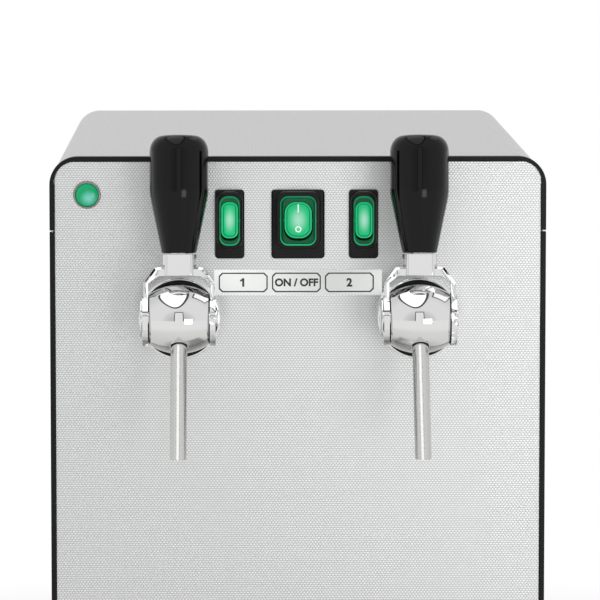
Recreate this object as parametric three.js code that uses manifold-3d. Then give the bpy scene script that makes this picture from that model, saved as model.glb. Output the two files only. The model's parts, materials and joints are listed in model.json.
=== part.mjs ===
// Counter-top mulled wine dispenser: a stainless cabinet with two lever taps, pumps and flow heaters.
// Millimetres, +Z up, the front faces -Y. The origin is on the floor, under the middle of the machine.
import * as THREE from "three";
import { mergeVertices } from "three/addons/utils/BufferGeometryUtils.js";
import Module from "manifold-3d";

const wasm = await Module();
wasm.setup();

// Cabinet. Y is 0 on the front panel's face until the machine is centred at the end.
const bodyWidth = 234;
const bodyDepth = 360;
const bodyTop = 350;
const footHeight = 18;
const cornerRadius = 13.3;
const coverSheet = 1;
const panelSheet = 1.2;
const panelCorner = 9;
const flangeDepth = 14;
const rearInset = 2;
const fit = 0.3; // the gap at every seat
const overrun = 2; // how far a cutter runs past what it cuts

// Black edge profile pushed over the cover's front edge, in three lengths
const trimLip = 0.5;
const trimGap = 0.15;
const trimProud = 1.5;
const trimGrip = 3;
const trimJointDrop = 34.8;
const trimJointGap = 0.8;

// Base pan, which reaches forward as a shelf for the drip tray
const shelfReach = 132;
const shelfLipHeight = 10;
const shelfLipBack = 2.5;
const baseFlangeHeight = 14;

// Rubber feet
const footRadius = 13;
const footTopRadius = 11;
const footEdge = 1.5;
const footInset = 22;

// Drip tray and its grid
const trayGap = 1.5; // between the tray and what stands beside it
const trayHeight = 26;
const trayWall = 1.2;
const trayCorner = 10;
const gridSheet = 1.5;
const gridPlay = 0.5;
const gridLeg = 5;
const gridLegInset = 8;
const slotWidth = 3.6;
const slotPitch = 9.6;
const slotRows = 11;
const slotMargin = 14; // from the grid's side to the slots, and twice this between the two columns

// Controls on the front panel
const controlDrop = 31.9;
const leftSwitchReach = 32.2; // from the main switch's middle
const rightSwitchReach = 30.9;
const bezelHeight = 32.6;
const bezelThickness = 2;
const bezelCorner = 1.5;
const rimHeight = 27.4;
const rimProud = 4.5;
const rimCorner = 4.6;
const rimRaise = 2; // the rim sits this far above the bezel's middle
const housingHeight = 29.4;
const housingDepth = 20;
const windowHeight = 23.6;
const windowCorner = 3.8;
const cavityDepth = 14;
const smallSwitch = { bezel: 13.9, rim: 12.1, housing: 11.6, window: 10, pad: 7.8 };
const largeSwitch = { bezel: 25.1, rim: 21.6, housing: 19.6, window: 17.4, pad: 12.7 };
const bootProud = 2.4;
const bootWall = 0.9;
const padHeight = 16.9;
const padGap = 0.3;
const padRise = 5;
const padDepth = 6;
const padDome = 0.5;
const padEdge = 1.2;
const padCornerShare = 0.41; // of the pad's width
const rockerTilt = 7;
const rockerAxisDepth = 5;
const trunnionRadius = 0.7;
const trunnionReach = 0.5;

// Label strip under the switches
const labelWidth = 79.2;
const labelHeight = 12;
const labelThickness = 0.3;
const labelGap = 0.1;
const labelDrop = 59.6;

// Heat-ready lamp
const lampInset = 17.7;
const lampDrop = 18.1;
const lampRing = 6.45;
const lampBarrel = 5.9;
const lampBore = 5.5;
const lampRingProud = 1.6;
const lampBarrelDepth = 14;
const lensProud = 1.4;
const lensDome = 1.4;
const lensDepth = 9;

// Taps. Each is drawn about its lever's pivot, with the panel behind it at +pivotReach.
const tapPitch = 111;
const pivotReach = 50;
const pivotDrop = 71.1;
const barrelHalf = 13.8;
const barrelRadius = 15.9;
const barrelEndRadius = 11.7;
const barrelDrop = 0.6; // the barrel's axis lies this far under the pivot
const shoulderRadius = 19;
const shoulderDrop = 1.7;
const shoulderFront = 12;
const shoulderBack = 34;
const shoulderEdge = 1;
const neckRadius = 12.5;
const shankRadius = 8;
const shankInside = 25;
const chamberRadius = 6;
const chamberFront = 11.5;
const rosetteRadius = 16;
const rosetteThickness = 3;
const nutAcrossCorners = 26;
const nutThickness = 6;
const spoutAngle = 37.1;
const spoutRadius = 3.8;
const spoutBore = 2.7;
const spoutDrop = 59.3;
const spoutRecess = 4.7;
const spoutRecessDepth = 1.3;
const pinRadius = 3;
const pinCapRadius = 9.2;
const pinCapThickness = 1;
const pinRivetRadius = 4;

// Valve plunger inside each tap
const plungerClearance = 0.5;
const plungerHead = 8;
const plungerFlat = 4.4;
const plungerRod = 2.5;
const plungerStroke = 3;
const throatRadius = 4;
const throatLength = 4;
const valveSeat = 50; // from the pivot back to the valve's seat
const valveDisc = 4;

// Lever: a fork astride the tap's barrel, with a stem and a black handle
const leverLean = 6;
const forkGap = 14.2;
const forkOuter = 16.8;
const armOuter = 16.4;
const forkDepth = 10;
const earRadius = 11.65;
const earForward = 1.2; // the ears' middle lies this far ahead of the pivot
const earDrop = 1.3; // and this far under it
const shoulderHeight = 16.1;
const crownUnder = 19.4;
const crownTop = 23.6;
const crownHalf = 11.3;
const crownInnerHalf = 9.8;
const crownSlope = 0.5; // the crown's ends lie this much under its middle
const stemBlock = 13.2;
const stemBlockFront = 8.4;
const stemFoot = 24;
const stemRadius = 8.1;
const stemTop = 29.6;
const studRadius = 4;
const studTop = 50;
const handleBottom = 29.9;
const handleBottomRadius = 8;
const handleWaist = 57.5;
const handleRadius = 13.6;
const handleTop = 84.6;
const handleRound = 7;
const handleEdge = 0.6;

// Hydraulics inside
const heaterRadius = 38;
const heaterEdge = 3;
const heaterFootRadius = 34;
const heaterFootHeight = 4;
const portRadius = 5;
const portReach = 12;
const portHeight = 36;
const pumpFromRear = 94.8;
const pumpSize = 44;
const pumpHeight = 32;
const motorRadius = 21;
const motorHeight = 74;
const motorEdge = 2;
const motorBossRadius = 7;
const motorBossHeight = 3;
const hoseRadius = 6.5;
const elbowRadius = 42;
const hoseRise = 45.1; // from the heater's upper port to the elbow
const pressureHoseLength = 47.4;

// Rear panel's fittings
const fittingReach = 26;
const inletHex = 20;
const inletHexThickness = 6;
const inletRadius = 5.2;
const inletBore = 2.6;
const inletThread = 7;
const inletInside = 14;
const barbCrest = 6.2;
const barbPitch = 5;
const barbCount = 3;
const glandZ = 84;
const glandHex = 27;
const glandHexThickness = 7;
const glandDome = 10.5;
const glandDomeTip = 8.6;
const glandBore = 6.5;
const glandThread = 9.6;
const glandInside = 12;
const ventWidth = 76;
const ventHeight = 3.4;
const ventPitch = 9;
const ventRows = 8;
const ventTopDrop = 40;
const ventX = 52;

// Electrical pieces inside
const terminalWidth = 46;
const terminalDepth = 22;
const terminalHeight = 18;
const terminalFromRear = 48.8;
const terminalSlot = 5;
const terminalSlotDepth = 9;
const terminalWays = 5;
const terminalPitch = 8;
const thermostatWidth = 12;
const thermostatDepth = 22;
const thermostatHeight = 30;
const thermostatDrop = 59.5; // its foot, below the heater's top

// Smoothness of round forms
const roundSides = 24;
const smallSides = 16;
const hoseSides = 8;
const hoseSteps = 14;
const arcSteps = 6;
const barrelSteps = 8;
const cornerSteps = 4;
const mergeStep = 1e-4;

// Places worked out from the sizes above
const degrees = Math.PI / 180;
const trimWidth = 2 * trimLip + 2 * trimGap + coverSheet;
const coverHalf = bodyWidth / 2 - trimLip - trimGap;
const coverTop = bodyTop - trimLip - trimGap;
const coverRadius = cornerRadius - trimLip - trimGap;
const insideHalf = coverHalf - coverSheet;
const insideTop = coverTop - coverSheet;
const insideRadius = coverRadius - coverSheet;
const panelHalf = bodyWidth / 2 - trimWidth - fit;
const panelTop = bodyTop - trimWidth - fit;
const baseTop = footHeight + panelSheet;
const seatZ = baseTop + fit;
const baseHalf = insideHalf - fit;
const rearFace = bodyDepth - rearInset;
const rearFront = rearFace - panelSheet;
const tapX = tapPitch / 2;
const pivotZ = bodyTop - pivotDrop;
const controlZ = bodyTop - controlDrop;
const trayFront = -shelfReach + trayGap;
const trayBack = -trimProud - trayGap;
const trayHalf = baseHalf - panelSheet - trayGap;
const trayTop = seatZ + trayHeight;
const shankBack = pivotReach + panelSheet + shankInside;
const lampX = bodyWidth / 2 - lampInset;
const pumpY = rearFront - pumpFromRear;
const terminalY = rearFront - terminalFromRear;
const portSpan = heaterRadius + portReach + fit + pressureHoseLength + fit + portReach + pumpSize / 2;
const heaterY = pumpY - portSpan;
const heaterHeight = pivotZ - elbowRadius - hoseRise - fit - portReach - seatZ;
const thermostatZ = seatZ + heaterHeight - thermostatDrop;
const spoutTilt = spoutAngle * degrees;
const spoutSeat = (chamberRadius + fit + spoutRadius * Math.sin(spoutTilt)) / Math.cos(spoutTilt);

const material = (color, roughness, metalness, more = {}) =>
  new THREE.MeshStandardMaterial({ color, roughness, metalness, ...more });
const linenSteel = material("#c9c9c7", 0.38, 1);
const brushedSteel = material("#bfc0bf", 0.34, 1);
const chrome = material("#e4e4e4", 0.06, 1);
const satinTube = material("#bdbdbb", 0.24, 1);
const blackGloss = material("#121212", 0.16, 0);
const blackPlastic = material("#1a1a1b", 0.42, 0);
const blackRubber = material("#101010", 0.7, 0);
const greenLens = material("#18b877", 0.12, 0);
const greenBoot = material("#0f8d58", 0.2, 0, { transparent: true, opacity: 0.6 });
const labelFilm = material("#e6e6e4", 0.45, 0);
const castAluminium = material("#9d9fa0", 0.5, 1);
const nickelBrass = material("#c2bda9", 0.25, 1);
const siliconeHose = material("#d8d4ca", 0.4, 0);
const motorPaint = material("#3b3d40", 0.45, 0.6);
const ivoryPlastic = material("#d9d4c4", 0.5, 0);

// A geometry as a solid that can be joined and cut.
function toSolid(geometry) {
  const bare = geometry.index ? geometry.toNonIndexed() : geometry.clone();
  bare.deleteAttribute("normal");
  bare.deleteAttribute("uv");
  const merged = mergeVertices(bare, mergeStep);
  const mesh = new wasm.Mesh({
    numProp: 3,
    vertProperties: merged.attributes.position.array,
    triVerts: new Uint32Array(merged.index.array),
  });
  return new wasm.Manifold(mesh);
}

function toGeometry(solid) {
  const mesh = solid.getMesh();
  return new THREE.BufferGeometry()
    .setAttribute("position", new THREE.BufferAttribute(mesh.vertProperties, 3))
    .setIndex(new THREE.BufferAttribute(mesh.triVerts, 1));
}

const join = (...pieces) => toGeometry(pieces.map(toSolid).reduce((a, b) => a.add(b)));
const cut = (piece, ...tools) =>
  toGeometry(tools.map(toSolid).reduce((a, b) => a.subtract(b), toSolid(piece)));
const common = (a, b) => toGeometry(toSolid(a).intersect(toSolid(b)));

// A box from its lowest to its highest place along each axis.
function block(x, y, z) {
  const box = new THREE.BoxGeometry(x[1] - x[0], y[1] - y[0], z[1] - z[0]);
  return box.translate((x[0] + x[1]) / 2, (y[0] + y[1]) / 2, (z[0] + z[1]) / 2);
}

// A turned form about an axis through the origin. The profile lists [radius, place along the axis].
function turned(axis, profile, sides = roundSides) {
  const points = profile.map(([radius, along]) => new THREE.Vector2(radius, along));
  const form = new THREE.LatheGeometry(points, sides);
  if (axis === "x") form.rotateZ(-Math.PI / 2);
  if (axis === "z") form.rotateX(Math.PI / 2);
  return form;
}

const rod = (axis, radius, from, to, sides = roundSides) =>
  turned(axis, [[0, from], [radius, from], [radius, to], [0, to]], sides);

// A ring round an axis, with a bore through it.
const sleeve = (axis, radius, bore, from, to, sides = roundSides) =>
  turned(axis, [[bore, from], [radius, from], [radius, to], [bore, to], [bore, from]], sides);

// An outline in X and Z, made a plate from y0 to y1.
function plateY(shape, y0, y1, curveSegments = arcSteps) {
  const form = new THREE.ExtrudeGeometry(shape, { depth: y1 - y0, bevelEnabled: false, curveSegments });
  return form.rotateX(Math.PI / 2).translate(0, y1, 0);
}

// An outline in X and Y, made a plate from z0 to z1.
function plateZ(shape, z0, z1, curveSegments = arcSteps) {
  const form = new THREE.ExtrudeGeometry(shape, { depth: z1 - z0, bevelEnabled: false, curveSegments });
  return form.translate(0, 0, z1 > z0 ? z0 : z1);
}

// A rectangle with round upper corners, standing on the line z = bottom.
function arch(half, bottom, top, radius) {
  const shape = new THREE.Shape();
  shape.moveTo(-half, bottom);
  shape.lineTo(half, bottom);
  shape.lineTo(half, top - radius);
  shape.absarc(half - radius, top - radius, radius, 0, Math.PI / 2);
  shape.lineTo(radius - half, top);
  shape.absarc(radius - half, top - radius, radius, Math.PI / 2, Math.PI);
  shape.closePath();
  return shape;
}

// A rectangle with four round corners about (x, y).
function roundedRectangle(width, height, radius, x = 0, y = 0, Path = THREE.Shape) {
  const shape = new Path();
  const right = x + width / 2 - radius;
  const left = x - width / 2 + radius;
  const upper = y + height / 2 - radius;
  const lower = y - height / 2 + radius;
  shape.moveTo(left, y - height / 2);
  shape.absarc(right, lower, radius, -Math.PI / 2, 0);
  shape.absarc(right, upper, radius, 0, Math.PI / 2);
  shape.absarc(left, upper, radius, Math.PI / 2, Math.PI);
  shape.absarc(left, lower, radius, Math.PI, 1.5 * Math.PI);
  shape.closePath();
  return shape;
}

// One loop of points round a rounded rectangle in X and Z, at a place along Y.
function loop(width, height, radius, y) {
  const points = [];
  const corners = [[1, 1, 0], [-1, 1, 1], [-1, -1, 2], [1, -1, 3]];
  for (const [sideX, sideZ, quarter] of corners) {
    for (let step = 0; step <= cornerSteps; step += 1) {
      const angle = (quarter + step / cornerSteps) * (Math.PI / 2);
      const x = sideX * (width / 2 - radius) + radius * Math.cos(angle);
      const z = sideZ * (height / 2 - radius) + radius * Math.sin(angle);
      points.push([x, y, z]);
    }
  }
  return points;
}

// A skin over loops of equal length. It is capped at both ends, or closes on itself as a ring.
function skin(loops, closesOnItself) {
  const count = loops[0].length;
  const vertices = loops.flat();
  const faces = [];
  const bands = closesOnItself ? loops.length : loops.length - 1;
  for (let band = 0; band < bands; band += 1) {
    const next = (band + 1) % loops.length;
    for (let i = 0; i < count; i += 1) {
      const j = (i + 1) % count;
      const [a, b] = [band * count + i, band * count + j];
      const [c, d] = [next * count + j, next * count + i];
      faces.push(a, b, c, a, c, d);
    }
  }
  if (!closesOnItself) {
    const last = (loops.length - 1) * count;
    for (let i = 1; i < count - 1; i += 1) {
      faces.push(0, i + 1, i);
      faces.push(last, last + i, last + i + 1);
    }
  }
  return new THREE.BufferGeometry()
    .setAttribute("position", new THREE.Float32BufferAttribute(vertices.flat(), 3))
    .setIndex(faces);
}

const machine = new THREE.Group();

function add(name, geometry, finish, parent = machine) {
  const mesh = new THREE.Mesh(geometry, finish);
  mesh.name = name;
  parent.add(mesh);
  return mesh;
}

function coverShell() {
  const outside = plateY(arch(coverHalf, footHeight, coverTop, coverRadius), trimGap, bodyDepth);
  const inside = arch(insideHalf, footHeight - overrun, insideTop, insideRadius);
  return cut(outside, plateY(inside, trimGap - overrun, bodyDepth + overrun));
}

// The whole edge profile before it is cut to lengths. At the corners its inner lip is snipped away.
function edgeProfile() {
  const outside = arch(bodyWidth / 2, seatZ, bodyTop, cornerRadius);
  const inside = arch(
    bodyWidth / 2 - trimWidth, seatZ - overrun, bodyTop - trimWidth, cornerRadius - trimWidth);
  const channelOutside = arch(
    coverHalf + trimGap, seatZ - overrun, coverTop + trimGap, coverRadius + trimGap);
  const channelInside = arch(
    insideHalf - trimGap, seatZ - 2 * overrun, insideTop - trimGap, insideRadius - trimGap);
  const channel = cut(
    plateY(channelOutside, 0, trimGrip + overrun),
    plateY(channelInside, -overrun, trimGrip + 2 * overrun));
  const snipped = plateY(channelInside, -trimProud - overrun, trimGrip + overrun);
  const cornerStart = bodyWidth / 2 - cornerRadius;
  const cornerBlocks = [-1, 1].map((side) => {
    const across = [side * cornerStart, side * (bodyWidth / 2 + overrun)].sort((a, b) => a - b);
    const along = [-trimProud - 2 * overrun, trimGrip + 2 * overrun];
    return common(snipped, block(across, along, [bodyTop - cornerRadius, bodyTop + overrun]));
  });
  return cut(
    plateY(outside, -trimProud, trimGrip),
    plateY(inside, -trimProud - overrun, trimGrip + overrun),
    channel,
    ...cornerBlocks);
}

function edgeTrims() {
  const profile = edgeProfile();
  const joint = bodyTop - trimJointDrop;
  const wide = bodyWidth / 2 + overrun;
  const deep = [-trimProud - overrun, trimGrip + overrun];
  const upper = block([-wide, wide], deep, [joint, bodyTop + overrun]);
  const lower = [seatZ - overrun, joint - trimJointGap];
  add("edge_trim_top", common(profile, upper), blackRubber);
  add("edge_trim_left", common(profile, block([-wide, 0], deep, lower)), blackRubber);
  add("edge_trim_right", common(profile, block([0, wide], deep, lower)), blackRubber);
}

const switches = [
  { name: "pump_1", x: -leftSwitchReach, size: smallSwitch },
  { name: "main", x: 0, size: largeSwitch },
  { name: "pump_2", x: rightSwitchReach, size: smallSwitch },
];

function frontPanel() {
  const outline = arch(panelHalf, seatZ, panelTop, panelCorner);
  const flanges = [-1, 1].map((side) => {
    const across = [side * (panelHalf - panelSheet), side * panelHalf].sort((a, b) => a - b);
    return block(across, [0, flangeDepth], [seatZ, panelTop - panelCorner]);
  });
  const through = [-overrun, panelSheet + overrun];
  const cutouts = switches.map(({ x, size }) => {
    const half = size.housing / 2 + fit;
    return block([x - half, x + half], through, [
      controlZ - housingHeight / 2 - fit, controlZ + housingHeight / 2 + fit]);
  });
  const lampHole = rod("y", lampBarrel + fit, ...through, smallSides)
    .translate(-lampX, 0, bodyTop - lampDrop);
  const tapHoles = [-tapX, tapX].map((x) =>
    rod("y", shankRadius + fit, ...through, smallSides).translate(x, 0, pivotZ));
  return cut(join(plateY(outline, 0, panelSheet), ...flanges), ...cutouts, lampHole, ...tapHoles);
}

function rearPanel() {
  const half = insideHalf - fit;
  const top = insideTop - fit;
  const radius = insideRadius - fit;
  const flanges = [-1, 1].map((side) => {
    const across = [side * (half - panelSheet), side * half].sort((a, b) => a - b);
    return block(across, [rearFront - flangeDepth, rearFront + panelSheet / 2], [seatZ, top - radius]);
  });
  const through = [rearFront - overrun, rearFace + overrun];
  const vents = [];
  for (let row = 0; row < ventRows; row += 1) {
    for (const x of [-ventX, ventX]) {
      const z = bodyTop - ventTopDrop - row * ventPitch;
      const slot = roundedRectangle(ventWidth, ventHeight, ventHeight / 2, x, z);
      vents.push(plateY(slot, ...through, 2));
    }
  }
  const inletHoles = [-tapX, tapX].map((x) =>
    rod("y", inletThread + fit, ...through, smallSides).translate(x, 0, portHeight));
  const glandHole = rod("y", glandThread + fit, ...through, smallSides).translate(0, 0, glandZ);
  const sheet = join(plateY(arch(half, seatZ, top, radius), rearFront, rearFace), ...flanges);
  return cut(sheet, ...vents, ...inletHoles, glandHole);
}

function basePan() {
  const floor = block([-baseHalf, baseHalf], [-shelfReach, rearFace], [footHeight, baseTop]);
  const lips = [-1, 1].flatMap((side) => {
    const across = [side * (baseHalf - panelSheet), side * baseHalf].sort((a, b) => a - b);
    const inside = [flangeDepth + fit, rearFront - flangeDepth - fit];
    return [
      block(across, [-shelfReach, -shelfLipBack], [footHeight, baseTop + shelfLipHeight]),
      block(across, inside, [footHeight, baseTop + baseFlangeHeight]),
    ];
  });
  return join(floor, ...lips);
}

function foot() {
  const top = footHeight - fit;
  const profile = [
    [0, 0], [footRadius - footEdge, 0], [footRadius, footEdge], [footTopRadius, top - footEdge],
    [footTopRadius, top], [0, top]];
  return turned("z", profile, smallSides);
}

function dripTray() {
  const width = 2 * trayHalf;
  const depth = trayBack - trayFront;
  const middle = (trayBack + trayFront) / 2;
  const outside = roundedRectangle(width, depth, trayCorner, 0, middle);
  const inside = roundedRectangle(
    width - 2 * trayWall, depth - 2 * trayWall, trayCorner - trayWall, 0, middle);
  return cut(plateZ(outside, seatZ, trayTop), plateZ(inside, seatZ + trayWall, trayTop + overrun));
}

function dripGrid() {
  const inset = trayWall + gridPlay;
  const width = 2 * (trayHalf - inset);
  const depth = trayBack - trayFront - 2 * inset;
  const middle = (trayBack + trayFront) / 2;
  const outline = roundedRectangle(width, depth, trayCorner - inset, 0, middle);
  const slotLength = width / 2 - 2 * slotMargin;
  for (let row = 0; row < slotRows; row += 1) {
    const y = middle + (row - (slotRows - 1) / 2) * slotPitch;
    for (const side of [-1, 1]) {
      const x = side * (width / 4);
      outline.holes.push(roundedRectangle(slotLength, slotWidth, slotWidth / 2, x, y, THREE.Path));
    }
  }
  const under = trayTop - fit - gridSheet;
  const legPlaces = [-1, 1].flatMap((x) => [-1, 1].map((y) => [
    x * (width / 2 - gridLegInset), middle + y * (depth / 2 - gridLegInset)]));
  const legs = legPlaces.map(([x, y]) => block(
    [x - gridLeg / 2, x + gridLeg / 2], [y - gridLeg / 2, y + gridLeg / 2],
    [seatZ + trayWall + fit, under + gridSheet / 2]));
  return join(plateZ(outline, under, under + gridSheet, 2), ...legs);
}

// A switch's black housing: the bezel on the panel, the raised rim round the boot and the box behind.
function switchHousing({ x, size }) {
  const rimZ = controlZ + rimRaise;
  const bezelBack = -fit;
  const bezelFront = bezelBack - bezelThickness;
  const rimFront = bezelFront - rimProud;
  const bezel = roundedRectangle(size.bezel, bezelHeight, bezelCorner, x, controlZ);
  const rim = roundedRectangle(size.rim, rimHeight, rimCorner, x, rimZ);
  const window = roundedRectangle(size.window, windowHeight, windowCorner, x, rimZ);
  const box = block(
    [x - size.housing / 2, x + size.housing / 2],
    [bezelBack - bezelThickness / 2, panelSheet + housingDepth],
    [controlZ - housingHeight / 2, controlZ + housingHeight / 2]);
  const hinge = size.window / 2 + trunnionReach + fit;
  return cut(
    join(
      plateY(bezel, bezelFront, bezelBack, cornerSteps),
      plateY(rim, rimFront, bezelFront + bezelThickness / 2, cornerSteps),
      box),
    plateY(window, rimFront - overrun, cavityDepth + rimFront, cornerSteps),
    rod("x", trunnionRadius + fit, -hinge, hinge, hoseSides).translate(x, -rockerAxisDepth, rimZ));
}

const padClear = fit + padGap + bootWall;

// The green splash boot: a sloping frame between the rim and the rocker's pad.
function switchBoot({ x, size }) {
  const back = -fit - bezelThickness - rimProud + trunnionRadius / 2;
  const front = back - trunnionRadius / 2 - bootProud;
  const width = size.window - 2 * fit;
  const height = windowHeight - 2 * fit;
  const openWidth = size.pad + 2 * padGap;
  const openHeight = padHeight + 2 * padClear;
  const rimmed = (size.window - size.pad) / 2 > 2 * bootWall ? bootWall : (width - openWidth) / 4;
  const corner = windowCorner - fit;
  const openCorner = Math.min(size.pad * padCornerShare, openWidth / 2);
  return skin([
    loop(width, height, corner, back),
    loop(width, height, corner, back - trunnionRadius / 2),
    loop(openWidth + 2 * rimmed, openHeight + 2 * rimmed, openCorner + rimmed, front),
    loop(openWidth, openHeight, openCorner, front),
    loop(openWidth, openHeight, openCorner, back),
  ], true).translate(x, 0, controlZ + rimRaise);
}

// The rocker, drawn about its own axis: the lit pad, its body and two trunnions.
function switchRocker({ size }) {
  const corner = size.pad * padCornerShare;
  const pad = skin([
    loop(size.pad, padHeight, corner, padDepth - padRise),
    loop(size.pad, padHeight, corner, -padRise),
    loop(size.pad - padEdge, padHeight - padEdge, corner - padEdge / 2, -padRise - padDome),
  ], false);
  const hinge = size.window / 2 + trunnionReach;
  return join(pad, rod("x", trunnionRadius, -hinge, hinge, hoseSides));
}

function lampRingGeometry() {
  const front = -fit - lampRingProud;
  return turned("y", [
    [lampBore, front], [lampRing - fit, front], [lampRing, front + fit], [lampRing, -fit],
    [lampBarrel, -fit], [lampBarrel, lampBarrelDepth], [lampBore, lampBarrelDepth], [lampBore, front],
  ]);
}

function lampLens() {
  const radius = lampBore - fit;
  const front = -fit - lensProud;
  const profile = [[0, front - lensDome]];
  for (let step = 1; step <= cornerSteps; step += 1) {
    const angle = (step / cornerSteps) * (Math.PI / 2);
    profile.push([radius * Math.sin(angle), front - lensDome * Math.cos(angle)]);
  }
  profile.push([radius, lensDepth], [0, lensDepth]);
  return turned("y", profile);
}

// The tap's body about the pivot: barrel, shoulder, neck and shank, with the valve's chamber bored in it.
function tapBody() {
  const sagitta = barrelRadius - barrelEndRadius;
  const arcRadius = (barrelHalf ** 2 + sagitta ** 2) / (2 * sagitta);
  const profile = [[0, -barrelHalf]];
  for (let step = 0; step <= barrelSteps; step += 1) {
    const x = barrelHalf * ((2 * step) / barrelSteps - 1);
    profile.push([barrelRadius - arcRadius + Math.sqrt(arcRadius ** 2 - x ** 2), x]);
  }
  profile.push([0, barrelHalf]);
  const neckEnd = pivotReach - 2 * fit - rosetteThickness;
  const shoulder = turned("y", [
    [0, shoulderFront], [shoulderRadius - shoulderEdge, shoulderFront],
    [shoulderRadius, shoulderFront + shoulderEdge], [shoulderRadius, shoulderBack],
    [0, shoulderBack]]);
  const behind = turned("y", [
    [0, 0], [chamberRadius + fit, 0], [chamberRadius + fit, shoulderFront + shoulderEdge],
    [neckRadius, shoulderFront + shoulderEdge], [neckRadius, neckEnd], [shankRadius, neckEnd],
    [shankRadius, shankBack], [0, shankBack]]);
  const chamber = turned("y", [
    [0, -chamberFront], [chamberRadius, -chamberFront], [chamberRadius, valveSeat - throatLength],
    [throatRadius, valveSeat - throatLength], [throatRadius, valveSeat], [chamberRadius, valveSeat],
    [chamberRadius, shankBack + overrun], [0, shankBack + overrun]], smallSides);
  const below = -2 * barrelRadius;
  const spoutHole = join(
    rod("z", spoutRecess, below, spoutRecessDepth - barrelDrop - barrelRadius, smallSides),
    rod("z", spoutRadius + fit, below, -spoutSeat, smallSides),
    rod("z", spoutBore, below, 0, smallSides));
  return cut(
    join(
      turned("x", profile).translate(0, 0, -barrelDrop),
      shoulder.translate(0, 0, -shoulderDrop),
      behind),
    chamber,
    rod("x", pinRadius + fit, -2 * barrelHalf, 2 * barrelHalf, smallSides),
    spoutHole.rotateX(-spoutTilt));
}

function tapRosette() {
  const back = pivotReach - fit;
  const front = back - rosetteThickness;
  return turned("y", [
    [shankRadius + fit, front], [rosetteRadius - rosetteThickness / 2, front],
    [rosetteRadius, front + rosetteThickness / 2], [rosetteRadius, back],
    [shankRadius + fit, back], [shankRadius + fit, front]]);
}

function tapNut() {
  const front = pivotReach + panelSheet + fit;
  const back = front + nutThickness;
  const hexagon = rod("y", nutAcrossCorners / 2, front, back, 6);
  return cut(hexagon, rod("y", shankRadius + fit, front - overrun, back + overrun, smallSides));
}

function spout() {
  const longest = spoutDrop / Math.cos(spoutTilt) + 2 * spoutRadius;
  const tube = rod("z", spoutRadius, -longest, -spoutSeat - fit, smallSides);
  const bore = rod("z", spoutBore, -longest - overrun, -spoutSeat + overrun, smallSides);
  const wide = longest + overrun;
  return cut(
    cut(tube, bore).rotateX(-spoutTilt),
    block([-wide, wide], [-wide, wide], [-2 * wide, -spoutDrop]));
}

// The valve's plunger: a flat-sided head round the pin, a rod through the throat and the disc behind it.
function plunger() {
  const radius = chamberRadius - plungerClearance;
  const discFront = valveSeat + fit;
  const stem = turned("y", [
    [0, plungerHead - fit], [plungerRod, plungerHead - fit], [plungerRod, discFront],
    [radius, discFront], [radius, discFront + valveDisc], [0, discFront + valveDisc]], smallSides);
  const head = common(
    rod("y", radius, -plungerHead, plungerHead, smallSides),
    block([-plungerFlat, plungerFlat], [-plungerHead, plungerHead], [-radius, radius]));
  const slotHalf = pinRadius + fit;
  return cut(join(head, stem), block(
    [-2 * radius, 2 * radius], [-slotHalf - plungerStroke, slotHalf], [-slotHalf, slotHalf]));
}

function pivotPin() {
  const seat = forkOuter + fit;
  return turned("x", [
    [0, -seat - pinCapThickness], [pinCapRadius - fit, -seat - pinCapThickness],
    [pinCapRadius, -seat - pinCapThickness / 2], [pinCapRadius, -seat], [pinRadius, -seat],
    [pinRadius, seat], [pinRivetRadius, seat], [pinRivetRadius, seat + pinCapThickness / 2],
    [pinRivetRadius - fit, seat + pinCapThickness], [0, seat + pinCapThickness]]);
}

// The lever's fork, drawn upright about the pivot.
function leverFork() {
  const outline = new THREE.Shape();
  outline.moveTo(forkGap, 0);
  outline.lineTo(armOuter, 0);
  outline.lineTo(armOuter, shoulderHeight);
  outline.lineTo(crownHalf, crownTop - crownSlope);
  outline.lineTo(stemRadius, crownTop);
  outline.lineTo(-stemRadius, crownTop);
  outline.lineTo(-crownHalf, crownTop - crownSlope);
  outline.lineTo(-armOuter, shoulderHeight);
  outline.lineTo(-armOuter, 0);
  outline.lineTo(-forkGap, 0);
  outline.lineTo(-forkGap, shoulderHeight);
  outline.lineTo(-crownInnerHalf, crownUnder);
  outline.lineTo(crownInnerHalf, crownUnder);
  outline.lineTo(forkGap, shoulderHeight);
  outline.closePath();
  const ears = [
    rod("x", earRadius, -forkOuter, -forkGap).translate(0, -earForward, -earDrop),
    rod("x", earRadius, forkGap, forkOuter).translate(0, -earForward, -earDrop),
  ];
  const stemHalf = stemBlock / 2;
  const stem = turned("z", [
    [0, stemFoot], [stemRadius, stemFoot], [stemRadius, stemTop], [studRadius, stemTop],
    [studRadius, studTop], [0, studTop]]);
  return cut(
    join(
      plateY(outline, -forkDepth / 2, forkDepth / 2), ...ears,
      block([-stemHalf, stemHalf], [-stemBlockFront, stemHalf], [crownUnder, stemTop]), stem),
    rod("x", pinRadius + fit, -forkOuter - overrun, forkOuter + overrun, smallSides));
}

function leverHandle() {
  const profile = [
    [0, studTop + fit], [studRadius + fit, studTop + fit], [studRadius + fit, handleBottom],
    [handleBottomRadius - handleEdge, handleBottom], [handleBottomRadius, handleBottom + handleEdge],
    [handleRadius, handleWaist]];
  for (let step = 0; step <= arcSteps; step += 1) {
    const angle = (step / arcSteps) * (Math.PI / 2);
    profile.push([
      handleRadius - handleRound + handleRound * Math.cos(angle),
      handleTop - handleRound + handleRound * Math.sin(angle)]);
  }
  profile.push([0, handleTop]);
  return turned("z", profile);
}

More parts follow.
